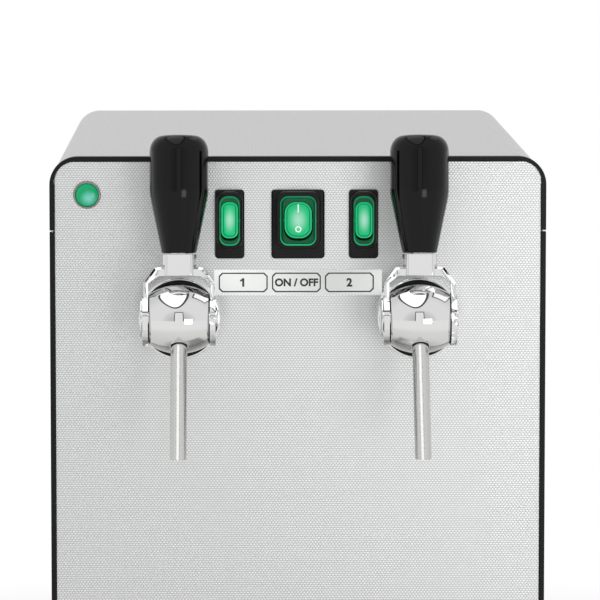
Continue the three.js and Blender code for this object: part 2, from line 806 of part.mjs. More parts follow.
function addTap(side, x) {
  const tap = new THREE.Group();
  tap.position.set(x, -pivotReach, pivotZ);
  machine.add(tap);
  add(`tap_body_${side}`, tapBody(), chrome, tap);
  add(`tap_rosette_${side}`, tapRosette(), chrome, tap);
  add(`tap_nut_${side}`, tapNut(), nickelBrass, tap);
  add(`spout_${side}`, spout(), satinTube, tap);
  add(`plunger_${side}`, plunger(), nickelBrass, tap);
  add(`pivot_pin_${side}`, pivotPin(), chrome, tap);
  const lever = new THREE.Group();
  lever.rotation.x = -leverLean * degrees;
  tap.add(lever);
  add(`lever_fork_${side}`, leverFork(), chrome, lever);
  add(`lever_handle_${side}`, leverHandle(), blackGloss, lever);
}

function heater() {
  const top = seatZ + heaterHeight;
  const vessel = turned("z", [
    [0, seatZ], [heaterFootRadius, seatZ], [heaterFootRadius, seatZ + heaterFootHeight],
    [heaterRadius - heaterEdge, seatZ + heaterFootHeight],
    [heaterRadius, seatZ + heaterFootHeight + heaterEdge], [heaterRadius, top - heaterEdge],
    [heaterRadius - heaterEdge, top], [portRadius, top], [portRadius, top + portReach],
    [0, top + portReach]]);
  const port = rod("y", portRadius, heaterRadius / 2, heaterRadius + portReach, smallSides);
  return join(vessel, port.translate(0, 0, portHeight));
}

function pumpHead() {
  const half = pumpSize / 2;
  const reach = half + portReach;
  const ports = rod("y", portRadius, -reach, reach, smallSides).translate(0, 0, portHeight);
  return join(block([-half, half], [-half, half], [seatZ, seatZ + pumpHeight]), ports);
}

function pumpMotor() {
  const bottom = seatZ + pumpHeight + fit;
  const top = bottom + motorHeight;
  return turned("z", [
    [0, bottom], [motorRadius, bottom], [motorRadius, top - motorEdge], [motorRadius - motorEdge, top],
    [motorBossRadius, top], [motorBossRadius, top + motorBossHeight], [0, top + motorBossHeight]]);
}

// A hose along a path, closed at its ends, as its bore ends in the pieces that it joins.
function hose(path, steps = hoseSteps) {
  const section = new THREE.Shape();
  section.absarc(0, 0, hoseRadius, 0, 2 * Math.PI);
  return new THREE.ExtrudeGeometry(section, {
    steps, extrudePath: path, bevelEnabled: false, curveSegments: hoseSides });
}

// From the heater's top port up, round an elbow and forward to the tap's shank.
function tapHosePath(x) {
  const start = new THREE.Vector3(x, heaterY, seatZ + heaterHeight + portReach + fit);
  const end = new THREE.Vector3(x, shankBack - pivotReach + fit, pivotZ);
  const bendStart = new THREE.Vector3(x, heaterY, pivotZ - elbowRadius);
  const bendEnd = new THREE.Vector3(x, heaterY - elbowRadius, pivotZ);
  const corner = new THREE.Vector3(x, heaterY, pivotZ);
  const path = new THREE.CurvePath();
  path.add(new THREE.LineCurve3(start, bendStart));
  path.add(new THREE.QuadraticBezierCurve3(bendStart, corner, bendEnd));
  path.add(new THREE.LineCurve3(bendEnd, end));
  return path;
}

function straightPath(x, y0, y1) {
  return new THREE.LineCurve3(new THREE.Vector3(x, y0, portHeight), new THREE.Vector3(x, y1, portHeight));
}

const inletInnerEnd = rearFront - inletInside;

// A wine inlet in the rear panel: thread inside, hexagon and barbed tail outside.
function inlet() {
  const tail = bodyDepth + fittingReach;
  const hexBack = rearFace + fit + inletHexThickness;
  const hexMiddle = hexBack - inletHexThickness / 2;
  const barbsFrom = tail - barbCount * barbPitch;
  const profile = [
    [0, inletInnerEnd], [inletThread, inletInnerEnd], [inletThread, hexMiddle],
    [inletRadius, hexMiddle], [inletRadius, barbsFrom]];
  for (let barb = 0; barb < barbCount; barb += 1) {
    const from = barbsFrom + barb * barbPitch;
    profile.push([barbCrest, from], [inletRadius, from + barbPitch]);
  }
  profile.push([0, tail]);
  const hexagon = rod("y", inletHex / 2, rearFace + fit, hexBack, 6);
  const bore = rod("y", inletBore, inletInnerEnd - overrun, tail + overrun, smallSides);
  return cut(join(turned("y", profile, smallSides), hexagon), bore);
}

function cableGland() {
  const hexBack = rearFace + fit + glandHexThickness;
  const tail = bodyDepth + fittingReach;
  const body = turned("y", [
    [0, rearFront - glandInside], [glandThread, rearFront - glandInside],
    [glandThread, hexBack - glandHexThickness / 2], [glandDome, hexBack - glandHexThickness / 2],
    [glandDome, (hexBack + tail) / 2], [glandDomeTip, tail], [0, tail]]);
  const hexagon = rod("y", glandHex / 2, rearFace + fit, hexBack, 6);
  const bore = rod("y", glandBore, rearFront - glandInside - overrun, tail + overrun, smallSides);
  return cut(join(body, hexagon), bore).translate(0, 0, glandZ);
}

function terminalBlock() {
  const half = terminalSlot / 2;
  const top = seatZ + terminalHeight;
  const slots = [];
  for (let way = 0; way < terminalWays; way += 1) {
    const x = (way - (terminalWays - 1) / 2) * terminalPitch;
    slots.push(block([x - half, x + half], [-half, half], [top - terminalSlotDepth, top + overrun]));
  }
  const body = block(
    [-terminalWidth / 2, terminalWidth / 2], [-terminalDepth / 2, terminalDepth / 2], [seatZ, top]);
  return cut(body, ...slots);
}

add("cover_shell", coverShell(), brushedSteel);
edgeTrims();
add("front_panel", frontPanel(), linenSteel);
add("rear_panel", rearPanel(), brushedSteel);
add("base_pan", basePan(), brushedSteel);

const footRows = [["front", footInset - shelfReach], ["rear", rearFace - footInset]];
for (const [row, y] of footRows) {
  for (const [side, sign] of [["left", -1], ["right", 1]]) {
    add(`foot_${row}_${side}`, foot(), blackRubber).position.set(sign * (baseHalf - footInset), y, 0);
  }
}

add("drip_tray", dripTray(), brushedSteel);
add("drip_grid", dripGrid(), brushedSteel);

for (const item of switches) {
  add(`switch_housing_${item.name}`, switchHousing(item), blackPlastic);
  add(`switch_boot_${item.name}`, switchBoot(item), greenBoot);
  const rocker = add(`switch_rocker_${item.name}`, switchRocker(item), greenLens);
  rocker.position.set(item.x, -rockerAxisDepth, controlZ + rimRaise);
  rocker.rotation.x = -rockerTilt * degrees;
}

add("lamp_ring", lampRingGeometry(), chrome).position.set(-lampX, 0, bodyTop - lampDrop);
add("lamp_lens", lampLens(), greenLens).position.set(-lampX, 0, bodyTop - lampDrop);
const labelZ = bodyTop - labelDrop;
add("label_strip", block(
  [-labelWidth / 2, labelWidth / 2], [-labelGap - labelThickness, -labelGap],
  [labelZ - labelHeight / 2, labelZ + labelHeight / 2]), labelFilm);

for (const [side, sign] of [["left", -1], ["right", 1]]) {
  const x = sign * tapX;
  addTap(side, x);
  add(`heater_${side}`, heater(), castAluminium).position.set(x, heaterY, 0);
  add(`pump_head_${side}`, pumpHead(), blackPlastic).position.set(x, pumpY, 0);
  add(`pump_motor_${side}`, pumpMotor(), motorPaint).position.set(x, pumpY, 0);
  const inner = x - sign * (heaterRadius + fit);
  const across = [inner, inner - sign * thermostatWidth].sort((a, b) => a - b);
  add(`thermostat_${side}`, block(
    across, [heaterY - thermostatDepth / 2, heaterY + thermostatDepth / 2],
    [thermostatZ, thermostatZ + thermostatHeight]), ivoryPlastic);
  add(`tap_hose_${side}`, hose(tapHosePath(x)), siliconeHose);
  const pumpReach = pumpSize / 2 + portReach + fit;
  const heaterPort = heaterY + heaterRadius + portReach + fit;
  const pressurePath = straightPath(x, heaterPort, pumpY - pumpReach);
  add(`pressure_hose_${side}`, hose(pressurePath, 1), siliconeHose);
  const suctionPath = straightPath(x, pumpY + pumpReach, inletInnerEnd - fit);
  add(`suction_hose_${side}`, hose(suctionPath, 1), siliconeHose);
  add(`wine_inlet_${side}`, inlet(), nickelBrass).position.set(x, 0, portHeight);
}

add("cable_gland", cableGland(), blackPlastic);
add("terminal_block", terminalBlock(), ivoryPlastic).position.set(0, terminalY, 0);

// The drip shelf in front and the fittings behind reach equally far from the origin.
const dispenser = new THREE.Group();
machine.position.y = (shelfReach - bodyDepth - fittingReach) / 2;
dispenser.add(machine);

export default dispenser;
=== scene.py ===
import json
from contextlib import contextmanager
from math import cos, hypot, pi, radians, sin, sqrt

import bmesh
import bpy
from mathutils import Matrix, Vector


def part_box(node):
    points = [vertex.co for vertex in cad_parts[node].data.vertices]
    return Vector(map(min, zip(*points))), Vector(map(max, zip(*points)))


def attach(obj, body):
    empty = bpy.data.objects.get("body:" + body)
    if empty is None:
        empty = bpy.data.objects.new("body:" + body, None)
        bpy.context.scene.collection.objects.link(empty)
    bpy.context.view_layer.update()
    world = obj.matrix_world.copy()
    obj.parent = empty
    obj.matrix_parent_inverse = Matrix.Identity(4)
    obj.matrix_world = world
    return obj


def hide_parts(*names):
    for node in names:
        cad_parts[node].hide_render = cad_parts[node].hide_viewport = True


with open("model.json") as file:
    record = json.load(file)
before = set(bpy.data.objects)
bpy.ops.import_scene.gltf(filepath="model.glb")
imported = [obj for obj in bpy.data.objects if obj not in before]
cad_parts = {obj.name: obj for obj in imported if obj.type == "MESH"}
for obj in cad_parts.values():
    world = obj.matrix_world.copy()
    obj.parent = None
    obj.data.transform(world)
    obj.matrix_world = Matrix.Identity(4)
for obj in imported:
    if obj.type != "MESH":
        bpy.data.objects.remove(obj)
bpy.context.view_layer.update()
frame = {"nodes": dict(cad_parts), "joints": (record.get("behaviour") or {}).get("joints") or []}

MM = 0.001
JOINTS = {joint["name"]: joint for joint in frame["joints"]}

# Places read from the frame
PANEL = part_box("front_panel")[0].y
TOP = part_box("edge_trim_top")[1].z
HALF_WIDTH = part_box("edge_trim_top")[1].x
COVER_LOW, COVER_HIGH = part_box("cover_shell")
PIVOTS = {side: Vector(JOINTS[f"tap_lever_{side}"]["pos_m"]) for side in ("left", "right")}
SWITCHES = ("pump_1", "main", "pump_2")
FIT = 0.3 * MM  # clearance between neighbours


# Camera

IMAGE_SIZE = 600
SENSOR = 36.0
PIXELS_PER_METRE = 2117.7  # at the front panel
CAMERA_DISTANCE = 2.125  # from the front panel
CAMERA_RISE = 0.1533  # above the machine's top
CAMERA_SIDE = -0.030
AIM_SIDE = 0.00095
AIM_DROP = 0.068  # the picture's centre on the panel, under the machine's top


def make_camera():
    """A long lens from a little above, whose centre falls on the front panel."""
    place = Vector((CAMERA_SIDE, PANEL - CAMERA_DISTANCE, TOP + CAMERA_RISE))
    aim = Vector((AIM_SIDE, PANEL, TOP - AIM_DROP))
    data = bpy.data.cameras.new("photo_camera")
    data.sensor_width = SENSOR
    data.lens = SENSOR * PIXELS_PER_METRE * (aim - place).length / IMAGE_SIZE
    camera = bpy.data.objects.new("photo_camera", data)
    camera.location = place
    camera.rotation_euler = (aim - place).to_track_quat("-Z", "Y").to_euler()
    bpy.context.scene.collection.objects.link(camera)
    bpy.context.scene.camera = camera


make_camera()


def linear(code, alpha=1.0):
    """An sRGB hex colour as the linear values that shaders take."""
    channels = [int(code[i:i + 2], 16) / 255 for i in (1, 3, 5)]
    return [c / 12.92 if c <= 0.04045 else ((c + 0.055) / 1.055) ** 2.4 for c in channels] + [alpha]


def add_node(tree, kind, inputs=None, **settings):
    """Adds one node, sets what is its own and fills or links its sockets."""
    made = tree.nodes.new("ShaderNode" + kind)
    for key, value in settings.items():
        setattr(made, key, value)
    for socket, value in (inputs or {}).items():
        if isinstance(value, bpy.types.NodeSocket):
            tree.links.new(value, made.inputs[socket])
        else:
            made.inputs[socket].default_value = value
    return made


def new_material(name, colour, roughness, metallic=0.0, ior=1.5, specular=0.5):
    """A material with constant values on its shader, returned with its tree and that shader."""
    material = bpy.data.materials.new(name)
    material.use_nodes = True
    tree = material.node_tree
    shader = tree.nodes["Principled BSDF"]
    shader.inputs["Base Color"].default_value = linear(colour)
    shader.inputs["Roughness"].default_value = roughness
    shader.inputs["Metallic"].default_value = metallic
    shader.inputs["IOR"].default_value = ior
    shader.inputs["Specular IOR Level"].default_value = specular
    return material, tree, shader


def object_place(tree, scale=(1, 1, 1), shift=(0, 0, 0)):
    """The place on the object, scaled so that 1 is one step of a pattern."""
    place = add_node(tree, "TexCoord").outputs["Object"]
    return add_node(
        tree, "Mapping", {"Vector": place, "Scale": scale, "Location": shift}).outputs["Vector"]


def add_bump(tree, shader, height, distance, strength=1.0):
    """Lifts the surface by a pattern from 0 to 1, whose 1 stands for a real distance."""
    bump = add_node(tree, "Bump", {"Height": height, "Distance": distance, "Strength": strength})
    tree.links.new(bump.outputs["Normal"], shader.inputs["Normal"])


def per_metre(*millimetres):
    """Scales that turn a step of so many millimetres into 1."""
    return tuple(1 / (step * MM) for step in millimetres)


LINEN_PITCH = 1.5
LINEN_ROW = 1.05
LINEN_RISE = 0.06 * MM
LINEN_FOOT_SHARE = 0.58  # from a cell's middle to where its pad starts to rise
LINEN_TOP_SHARE = 0.16  # from a cell's middle to where its pad is flat


def linen_stainless():
    """Stainless sheet rolled with a linen pattern: staggered raised pads painted lighter, with painted shade
    in the valleys between them.
    """
    material, tree, shader = new_material("linen_rolled_stainless", "#e2e2e0", 0.36, 1.0)
    place = object_place(tree, per_metre(LINEN_PITCH, 1, LINEN_ROW))
    axes = add_node(tree, "SeparateXYZ", {0: place})
    row = add_node(tree, "Math", {0: axes.outputs["Z"]}, operation="FLOOR").outputs[0]
    half_row = add_node(tree, "Math", {0: row, 1: 0.5}, operation="MULTIPLY").outputs[0]
    stagger = add_node(tree, "Math", {0: half_row}, operation="FRACT").outputs[0]
    across = add_node(tree, "Math", {0: axes.outputs["X"], 1: stagger}, operation="ADD").outputs[0]
    cell_x = add_node(tree, "Math", {0: across}, operation="FRACT").outputs[0]
    cell_z = add_node(tree, "Math", {0: axes.outputs["Z"]}, operation="FRACT").outputs[0]
    cell = add_node(tree, "CombineXYZ", {"X": cell_x, "Y": cell_z}).outputs[0]
    off_centre = add_node(
        tree, "VectorMath", {0: cell, 1: (0.5, 0.5, 0)}, operation="SUBTRACT").outputs[0]
    distance = add_node(tree, "VectorMath", {0: off_centre}, operation="LENGTH").outputs["Value"]
    pad = add_node(
        tree, "MapRange", {"Value": distance, "From Min": LINEN_FOOT_SHARE, "From Max": LINEN_TOP_SHARE},
        interpolation_type="SMOOTHSTEP").outputs[0]
    # painted shade: the valleys between the pads take the darker colour, the pad tops the lighter one
    shade = add_node(
        tree, "Mix", {0: pad, 6: linear("#bbbcbc"), 7: linear("#e1e2e2")}, data_type="RGBA").outputs[2]
    tree.links.new(shade, shader.inputs["Base Color"])
    add_bump(tree, shader, pad, LINEN_RISE, 0.7)
    return material


def brushed_stainless(name, grain, colour="#c6c7c6", roughness=0.3):
    """Stainless sheet with the fine straight scratches of its brushing, long along one axis."""
    material, tree, shader = new_material(name, colour, roughness, 1.0)
    place = object_place(tree, per_metre(*grain))
    scratches = add_node(
        tree, "TexNoise", {"Vector": place, "Scale": 1.0, "Detail": 4.0, "Roughness": 0.6}).outputs[0]
    rough = add_node(
        tree, "MapRange", {"Value": scratches, "To Min": roughness - 0.07, "To Max": roughness + 0.09})
    tree.links.new(rough.outputs[0], shader.inputs["Roughness"])
    add_bump(tree, shader, scratches, 0.012 * MM, 0.35)
    return material


def chromed_brass():
    """Brass polished and chromed: a mirror with the slight waves that polishing leaves."""
    material, tree, shader = new_material("polished_chrome", "#dedede", 0.035, 1.0)
    place = object_place(tree, per_metre(9, 9, 9))
    waves = add_node(tree, "TexNoise", {"Vector": place, "Scale": 1.0, "Detail": 1.0}).outputs[0]
    add_bump(tree, shader, waves, 0.05 * MM, 0.5)
    return material


def drawn_stainless_tube():
    """Drawn stainless tube, polished lengthways: soft streaks along it."""
    material, tree, shader = new_material("drawn_stainless_tube", "#cfcfcd", 0.2, 1.0)
    place = object_place(tree, per_metre(0.5, 14, 14))
    streaks = add_node(tree, "TexNoise", {"Vector": place, "Scale": 1.0, "Detail": 3.0}).outputs[0]
    rough = add_node(tree, "MapRange", {"Value": streaks, "To Min": 0.15, "To Max": 0.27})
    tree.links.new(rough.outputs[0], shader.inputs["Roughness"])
    return material


def turned_nickel():
    """Nickel-plated brass, fine turned and left satin: greyer than chrome, with a soft sheen."""
    material, tree, shader = new_material("satin_turned_nickel", "#a0989a", 0.3, 1.0)
    place = object_place(tree, per_metre(0.3, 0.3, 0.3))
    turning = add_node(tree, "TexNoise", {"Vector": place, "Scale": 1.0, "Detail": 1.0}).outputs[0]
    add_bump(tree, shader, turning, 0.01 * MM, 0.3)
    return material


def moulded_phenolic():
    """Black phenolic resin from a polished mould: deep gloss with a faint orange peel."""
    material, tree, shader = new_material("polished_phenolic", "#030303", 0.11, ior=1.45, specular=0.26)
    place = object_place(tree, per_metre(4, 4, 4))
    peel = add_node(tree, "TexNoise", {"Vector": place, "Scale": 1.0, "Detail": 2.0}).outputs[0]
    add_bump(tree, shader, peel, 0.02 * MM, 0.4)
    return material


def grained_polyamide():
    """Black polyamide from a spark-eroded mould: satin, with a fine grain that breaks up highlights."""
    material, tree, shader = new_material("grained_polyamide", "#060606", 0.3, specular=0.22)
    place = object_place(tree, per_metre(0.35, 0.35, 0.35))
    grain = add_node(tree, "TexNoise", {"Vector": place, "Scale": 1.0, "Detail": 3.0}).outputs[0]
    add_bump(tree, shader, grain, 0.02 * MM, 0.5)
    return material


def extruded_pvc():
    """Black soft PVC, extruded: dull sheen with faint lines along the profile."""
    material, tree, shader = new_material("extruded_pvc", "#050505", 0.32, specular=0.22)
    place = object_place(tree, per_metre(1, 1, 30))
    lines = add_node(tree, "TexNoise", {"Vector": place, "Scale": 1.0, "Detail": 3.0}).outputs[0]
    rough = add_node(tree, "MapRange", {"Value": lines, "To Min": 0.3, "To Max": 0.5})
    tree.links.new(rough.outputs[0], shader.inputs["Roughness"])
    return material


def moulded_rubber():
    """Black rubber for the feet: matt, with a slightly dusty bloom."""
    material, tree, shader = new_material("moulded_rubber", "#1b1b1a", 0.72)
    place = object_place(tree, per_metre(3, 3, 3))
    bloom = add_node(tree, "TexNoise", {"Vector": place, "Scale": 1.0, "Detail": 5.0}).outputs[0]
    shade = add_node(
        tree, "Mix", {0: bloom, 6: linear("#141414"), 7: linear("#262625")}, data_type="RGBA").outputs[2]
    tree.links.new(shade, shader.inputs["Base Color"])
    add_bump(tree, shader, bloom, 0.03 * MM, 0.5)
    return material


def from_outline(tree, centre, half_width, half_height, corner):
    """How far a place lies outside a rounded rectangle that faces the front."""
    place_on = add_node(tree, "TexCoord").outputs["Object"]
    offset = add_node(tree, "VectorMath", {0: place_on, 1: centre}, operation="SUBTRACT").outputs[0]
    size = add_node(tree, "VectorMath", {0: offset}, operation="ABSOLUTE").outputs[0]
    past = add_node(
        tree, "VectorMath", {0: size, 1: (half_width - corner, 1, half_height - corner)},
        operation="SUBTRACT").outputs[0]
    outer = add_node(tree, "VectorMath", {0: past, 1: (0, 0, 0)}, operation="MAXIMUM").outputs[0]
    round_part = add_node(tree, "VectorMath", {0: outer}, operation="LENGTH").outputs["Value"]
    axes = add_node(tree, "SeparateXYZ", {0: past})
    straight = add_node(
        tree, "Math", {0: axes.outputs["X"], 1: axes.outputs["Z"]}, operation="MAXIMUM").outputs[0]
    straight = add_node(tree, "Math", {0: straight, 1: 0.0}, operation="MINIMUM").outputs[0]
    total = add_node(tree, "Math", {0: round_part, 1: straight}, operation="ADD").outputs[0]
    return add_node(tree, "Math", {0: total, 1: corner}, operation="SUBTRACT").outputs[0]


LIT_STRENGTH = 0.62
# painted shade: the groove between border and middle, and the sides outside the outline, are darkened
GROOVE_MIDDLE = 0.12 * MM  # from the border's inner edge
GROOVE_SHADE_FULL = 0.1 * MM  # from the groove's middle, fully dark
GROOVE_SHADE_END = 0.26 * MM  # from the groove's middle, no longer dark
SIDE_SHADE_START = 0.02 * MM  # outside the outline, where the painted shade on the pad's sides starts
SIDE_SHADE_END = 0.1 * MM


def lit_polycarbonate(name, centre, reach, edge="#0ccb82", core="#c8fbe6", outline=None):
    """Green polycarbonate lit by a lamp behind its middle: pale there and deeper green outwards.

    Given its outline, painted shade darkens the thin groove between its border and its middle, and the pad's
    sides outside its outline.
    """
    material, tree, shader = new_material(name, "#0d6e46", 0.14, ior=1.58, specular=0.2)
    scale = tuple(1 / size for size in reach)
    shift = tuple(-place / size for place, size in zip(centre, reach))
    place = object_place(tree, scale, shift)
    away = add_node(tree, "VectorMath", {0: place}, operation="LENGTH").outputs["Value"]
    fade = add_node(tree, "MapRange", {"Value": away}, interpolation_type="SMOOTHSTEP").outputs[0]
    glow = add_node(tree, "Mix", {0: fade, 6: linear(core), 7: linear(edge)}, data_type="RGBA").outputs[2]
    if outline:
        *shape, border = outline
        outside = from_outline(tree, centre, *shape)
        from_groove = add_node(
            tree, "Math", {0: outside, 1: -border - GROOVE_MIDDLE}, operation="SUBTRACT").outputs[0]
        from_groove = add_node(tree, "Math", {0: from_groove}, operation="ABSOLUTE").outputs[0]
        # painted shade in the groove and on the sides outside the outline
        shade = add_node(
            tree, "MapRange",
            {"Value": from_groove, "From Min": GROOVE_SHADE_FULL, "From Max": GROOVE_SHADE_END}).outputs[0]
        on_pad = add_node(
            tree, "MapRange", {"Value": outside, "From Min": SIDE_SHADE_START, "From Max": SIDE_SHADE_END,
                               "To Min": 1.0, "To Max": 0.0}).outputs[0]
        shade = add_node(tree, "Math", {0: shade, 1: on_pad}, operation="MULTIPLY").outputs[0]
        glow = add_node(
            tree, "Mix", {0: shade, 6: linear("#033a22"), 7: glow}, data_type="RGBA").outputs[2]
    tree.links.new(glow, shader.inputs["Emission Color"])
    shader.inputs["Emission Strength"].default_value = LIT_STRENGTH
    return material


# painted light: the boot's edge is made to glow
PAINTED_EDGE_GLOW_START = -0.75 * MM  # inside the boot's outline
PAINTED_EDGE_GLOW_FULL = -0.3 * MM


def clear_green_pvc(name, centre, half_width, half_height, corner):
    """Clear green soft PVC over a switch: dark and glossy, with a painted glow along its edge, strongest
    below, and a faint painted glow over the rest.
    """
    material, tree, shader = new_material(name, "#064e30", 0.1, ior=1.53, specular=0.16)
    shader.inputs["Transmission Weight"].default_value = 0.15
    outside = from_outline(tree, centre, half_width, half_height, corner)
    edge = add_node(
        tree, "MapRange",
        {"Value": outside, "From Min": PAINTED_EDGE_GLOW_START, "From Max": PAINTED_EDGE_GLOW_FULL}).outputs[0]
    place_on = add_node(tree, "TexCoord").outputs["Object"]
    height = add_node(tree, "SeparateXYZ", {0: place_on}).outputs["Z"]
    # the painted edge glow grows towards the bottom
    dim = centre[2] - half_height * 0.6
    bright = centre[2] - half_height * 0.95
    low = add_node(
        tree, "MapRange",
        {"Value": height, "From Min": dim, "From Max": bright, "To Min": 0.3, "To Max": 1.0}).outputs[0]
    share = add_node(tree, "Math", {0: edge, 1: low}, operation="MULTIPLY").outputs[0]
    # painted glow: faint over the whole boot, bright along the edge
    glow = add_node(
        tree, "Mix", {0: share, 6: linear("#012c1a"), 7: linear("#1cc47a")}, data_type="RGBA").outputs[2]
    tree.links.new(glow, shader.inputs["Emission Color"])
    shader.inputs["Emission Strength"].default_value = 1.0
    place = object_place(tree, per_metre(5, 5, 5))
    ripple = add_node(tree, "TexNoise", {"Vector": place, "Scale": 1.0, "Detail": 1.0}).outputs[0]
    add_bump(tree, shader, ripple, 0.15 * MM, 0.6)
    return material


def printed_film(name, colour, roughness):
    """Satin polyester film, printed: nearly flat, with a faint tooth."""
    material, tree, shader = new_material(name, colour, roughness, ior=1.57)
    place = object_place(tree, per_metre(0.4, 0.4, 0.4))
    tooth = add_node(tree, "TexNoise", {"Vector": place, "Scale": 1.0, "Detail": 2.0}).outputs[0]
    add_bump(tree, shader, tooth, 0.008 * MM, 0.3)
    return material


def plain_finish(name, colour, roughness, metallic, grain, rise):
    """A finish of one colour whose surface is broken up by a grain of a real size."""
    material, tree, shader = new_material(name, colour, roughness, metallic)
    place = object_place(tree, per_metre(grain, grain, grain))
    noise = add_node(tree, "TexNoise", {"Vector": place, "Scale": 1.0, "Detail": 4.0}).outputs[0]
    rough = add_node(
        tree, "MapRange", {"Value": noise, "To Min": roughness - 0.08, "To Max": roughness + 0.08})
    tree.links.new(rough.outputs[0], shader.inputs["Roughness"])
    add_bump(tree, shader, noise, rise * MM, 0.6)
    return material


LINEN = linen_stainless()
COVER_STEEL = brushed_stainless("brushed_stainless_cover", (0.4, 60, 0.4), "#cacbca", 0.3)
PAN_STEEL = brushed_stainless("brushed_stainless_pan", (60, 0.4, 0.4), "#c4c4c2", 0.28)
CHROME = chromed_brass()
TUBE = drawn_stainless_tube()
PHENOLIC = moulded_phenolic()
RING_NICKEL = turned_nickel()
POLYAMIDE = grained_polyamide()
TRIM_PVC = extruded_pvc()
RUBBER = moulded_rubber()
LABEL = printed_film("white_polyester_film", "#f5f6f5", 0.4)
INK = printed_film("black_print", "#141414", 0.35)
WHITE_INK = printed_film("white_print", "#eafff6", 0.35)
CAST_ALUMINIUM = plain_finish("cast_aluminium", "#a2a4a5", 0.5, 1.0, 0.8, 0.05)  # sand-cast skin
NICKEL = plain_finish("nickel_plated_brass", "#c9c4b4", 0.24, 1.0, 2.0, 0.01)  # warm plated metal
SILICONE = plain_finish("silicone_hose", "#d9d5cb", 0.42, 0.0, 1.5, 0.02)  # milky and slightly dull
MOTOR_PAINT = plain_finish("motor_enamel", "#3a3d40", 0.4, 0.0, 1.0, 0.03)  # sprayed enamel
IVORY = plain_finish("ivory_polyamide", "#d9d3c2", 0.5, 0.0, 0.5, 0.02)  # moulded terminal plastic


# Modelling helpers

def deselect():
    """Leaves nothing selected, the frame's nodes included."""
    bpy.ops.object.select_all(action="DESELECT")


def select_only(piece):
    """Selects one piece and makes it the active one."""
    deselect()
    piece.select_set(True)
    bpy.context.view_layer.objects.active = piece


@contextmanager
def editing(piece):
    """Edit mode on one piece with everything selected at first."""
    select_only(piece)
    bpy.ops.object.mode_set(mode="EDIT")
    bpy.ops.mesh.select_all(action="SELECT")
    yield
    bpy.ops.object.mode_set(mode="OBJECT")


def pick(piece, kind, test):
    """Selects the faces or edges whose middle and normal, or direction, pass a test."""
    bpy.ops.mesh.select_mode(type=kind)
    bpy.ops.mesh.select_all(action="DESELECT")
    mesh = bmesh.from_edit_mesh(piece.data)
    if kind == "FACE":
        for face in mesh.faces:
            face.select_set(test(face.calc_center_median(), face.normal))
    else:
        for edge in mesh.edges:
            start, end = (vertex.co for vertex in edge.verts)
            edge.select_set(test((start + end) / 2, (end - start).normalized()))
    bmesh.update_edit_mesh(piece.data)


def settle(name):
    """Names the piece just added and keeps its place in its mesh."""
    piece = bpy.context.object
    piece.name = name
    piece.data.name = name
    bpy.ops.object.transform_apply(location=True, rotation=True, scale=True)
    return piece


def place(piece, location=(0, 0, 0), rotation=(0, 0, 0)):
    """Turns and moves a piece and keeps that in its mesh."""
    select_only(piece)
    piece.rotation_euler = rotation
    piece.location = location
    bpy.ops.object.transform_apply(location=True, rotation=True, scale=True)
    return piece


def cube(name, low, high):
    """A box between two corners."""
    low = Vector(low)
    high = Vector(high)
    deselect()
    bpy.ops.mesh.primitive_cube_add(size=1, location=(low + high) / 2, scale=high - low)
    return settle(name)


def extrude(vector):
    """Pulls out what is selected along a vector."""
    bpy.ops.mesh.extrude_region_move(TRANSFORM_OT_translate={"value": vector})


AXIS_TURN = {"X": (0, pi / 2, 0), "Y": (-pi / 2, 0, 0), "Z": (0, 0, 0)}


def turned(name, profile, centre=(0, 0, 0), axis="Z", sides=96):
    """A turned piece: a disc pulled along its axis and resized from one profile step to the next."""
    (radius, along), *steps = profile
    deselect()
    bpy.ops.mesh.primitive_circle_add(
        vertices=sides, radius=radius, fill_type="NGON", location=(0, 0, along))
    piece = settle(name)
    with editing(piece):
        for next_radius, next_along in steps:
            extrude((0, 0, next_along - along))
            size = next_radius / radius
            bpy.ops.transform.resize(value=(size, size, 1), center_override=(0, 0, next_along))
            radius, along = next_radius, next_along
        bpy.ops.mesh.select_all(action="SELECT")
        bpy.ops.mesh.normals_make_consistent(inside=False)
    return place(piece, centre, AXIS_TURN[axis])


def plate(name, points, thickness, axis="Y"):
    """A plate: one vertex pulled round an outline in X and Z, or X and Y, filled and pulled thick."""
    spots = [Vector((x, 0, z)) if axis == "Y" else Vector((x, z, 0)) for x, z in points]
    deselect()
    bpy.ops.mesh.primitive_plane_add(size=MM)
    piece = settle(name)
    with editing(piece):
        bpy.ops.mesh.select_mode(type="VERT")
        bpy.ops.mesh.merge(type="CENTER")
        bpy.ops.transform.translate(value=spots[0])
        for start, end in zip(spots, spots[1:] + spots[:1]):
            extrude(end - start)
        bpy.ops.mesh.select_all(action="SELECT")
        bpy.ops.mesh.remove_doubles(threshold=1e-6)
        bpy.ops.mesh.edge_face_add()
        extrude((0, thickness, 0) if axis == "Y" else (0, 0, thickness))
        bpy.ops.mesh.select_all(action="SELECT")
        bpy.ops.mesh.normals_make_consistent(inside=False)
    return piece


def rounded(width, height, radius, x=0.0, z=0.0, steps=8):
    """The outline of a rectangle with round corners about a centre."""
    points = []
    for quarter, (side_x, side_z) in enumerate([(1, 1), (-1, 1), (-1, -1), (1, -1)]):
        for step in range(steps + 1):
            angle = (quarter + step / steps) * pi / 2
            points.append((
                x + side_x * (width / 2 - radius) + radius * cos(angle),
                z + side_z * (height / 2 - radius) + radius * sin(angle)))
    return points


def apply_modifier(piece, kind, **settings):
    """Adds one modifier with its settings and applies it to the mesh."""
    modifier = piece.modifiers.new(kind.lower(), kind)
    for key, value in settings.items():
        setattr(modifier, key, value)
    select_only(piece)
    bpy.ops.object.modifier_apply(modifier=modifier.name)
    return piece


def combine(piece, other, operation):
    """Joins or cuts a piece with another, which is used up."""
    apply_modifier(piece, "BOOLEAN", object=other, operation=operation, solver="EXACT")
    bpy.data.objects.remove(other)
    return piece


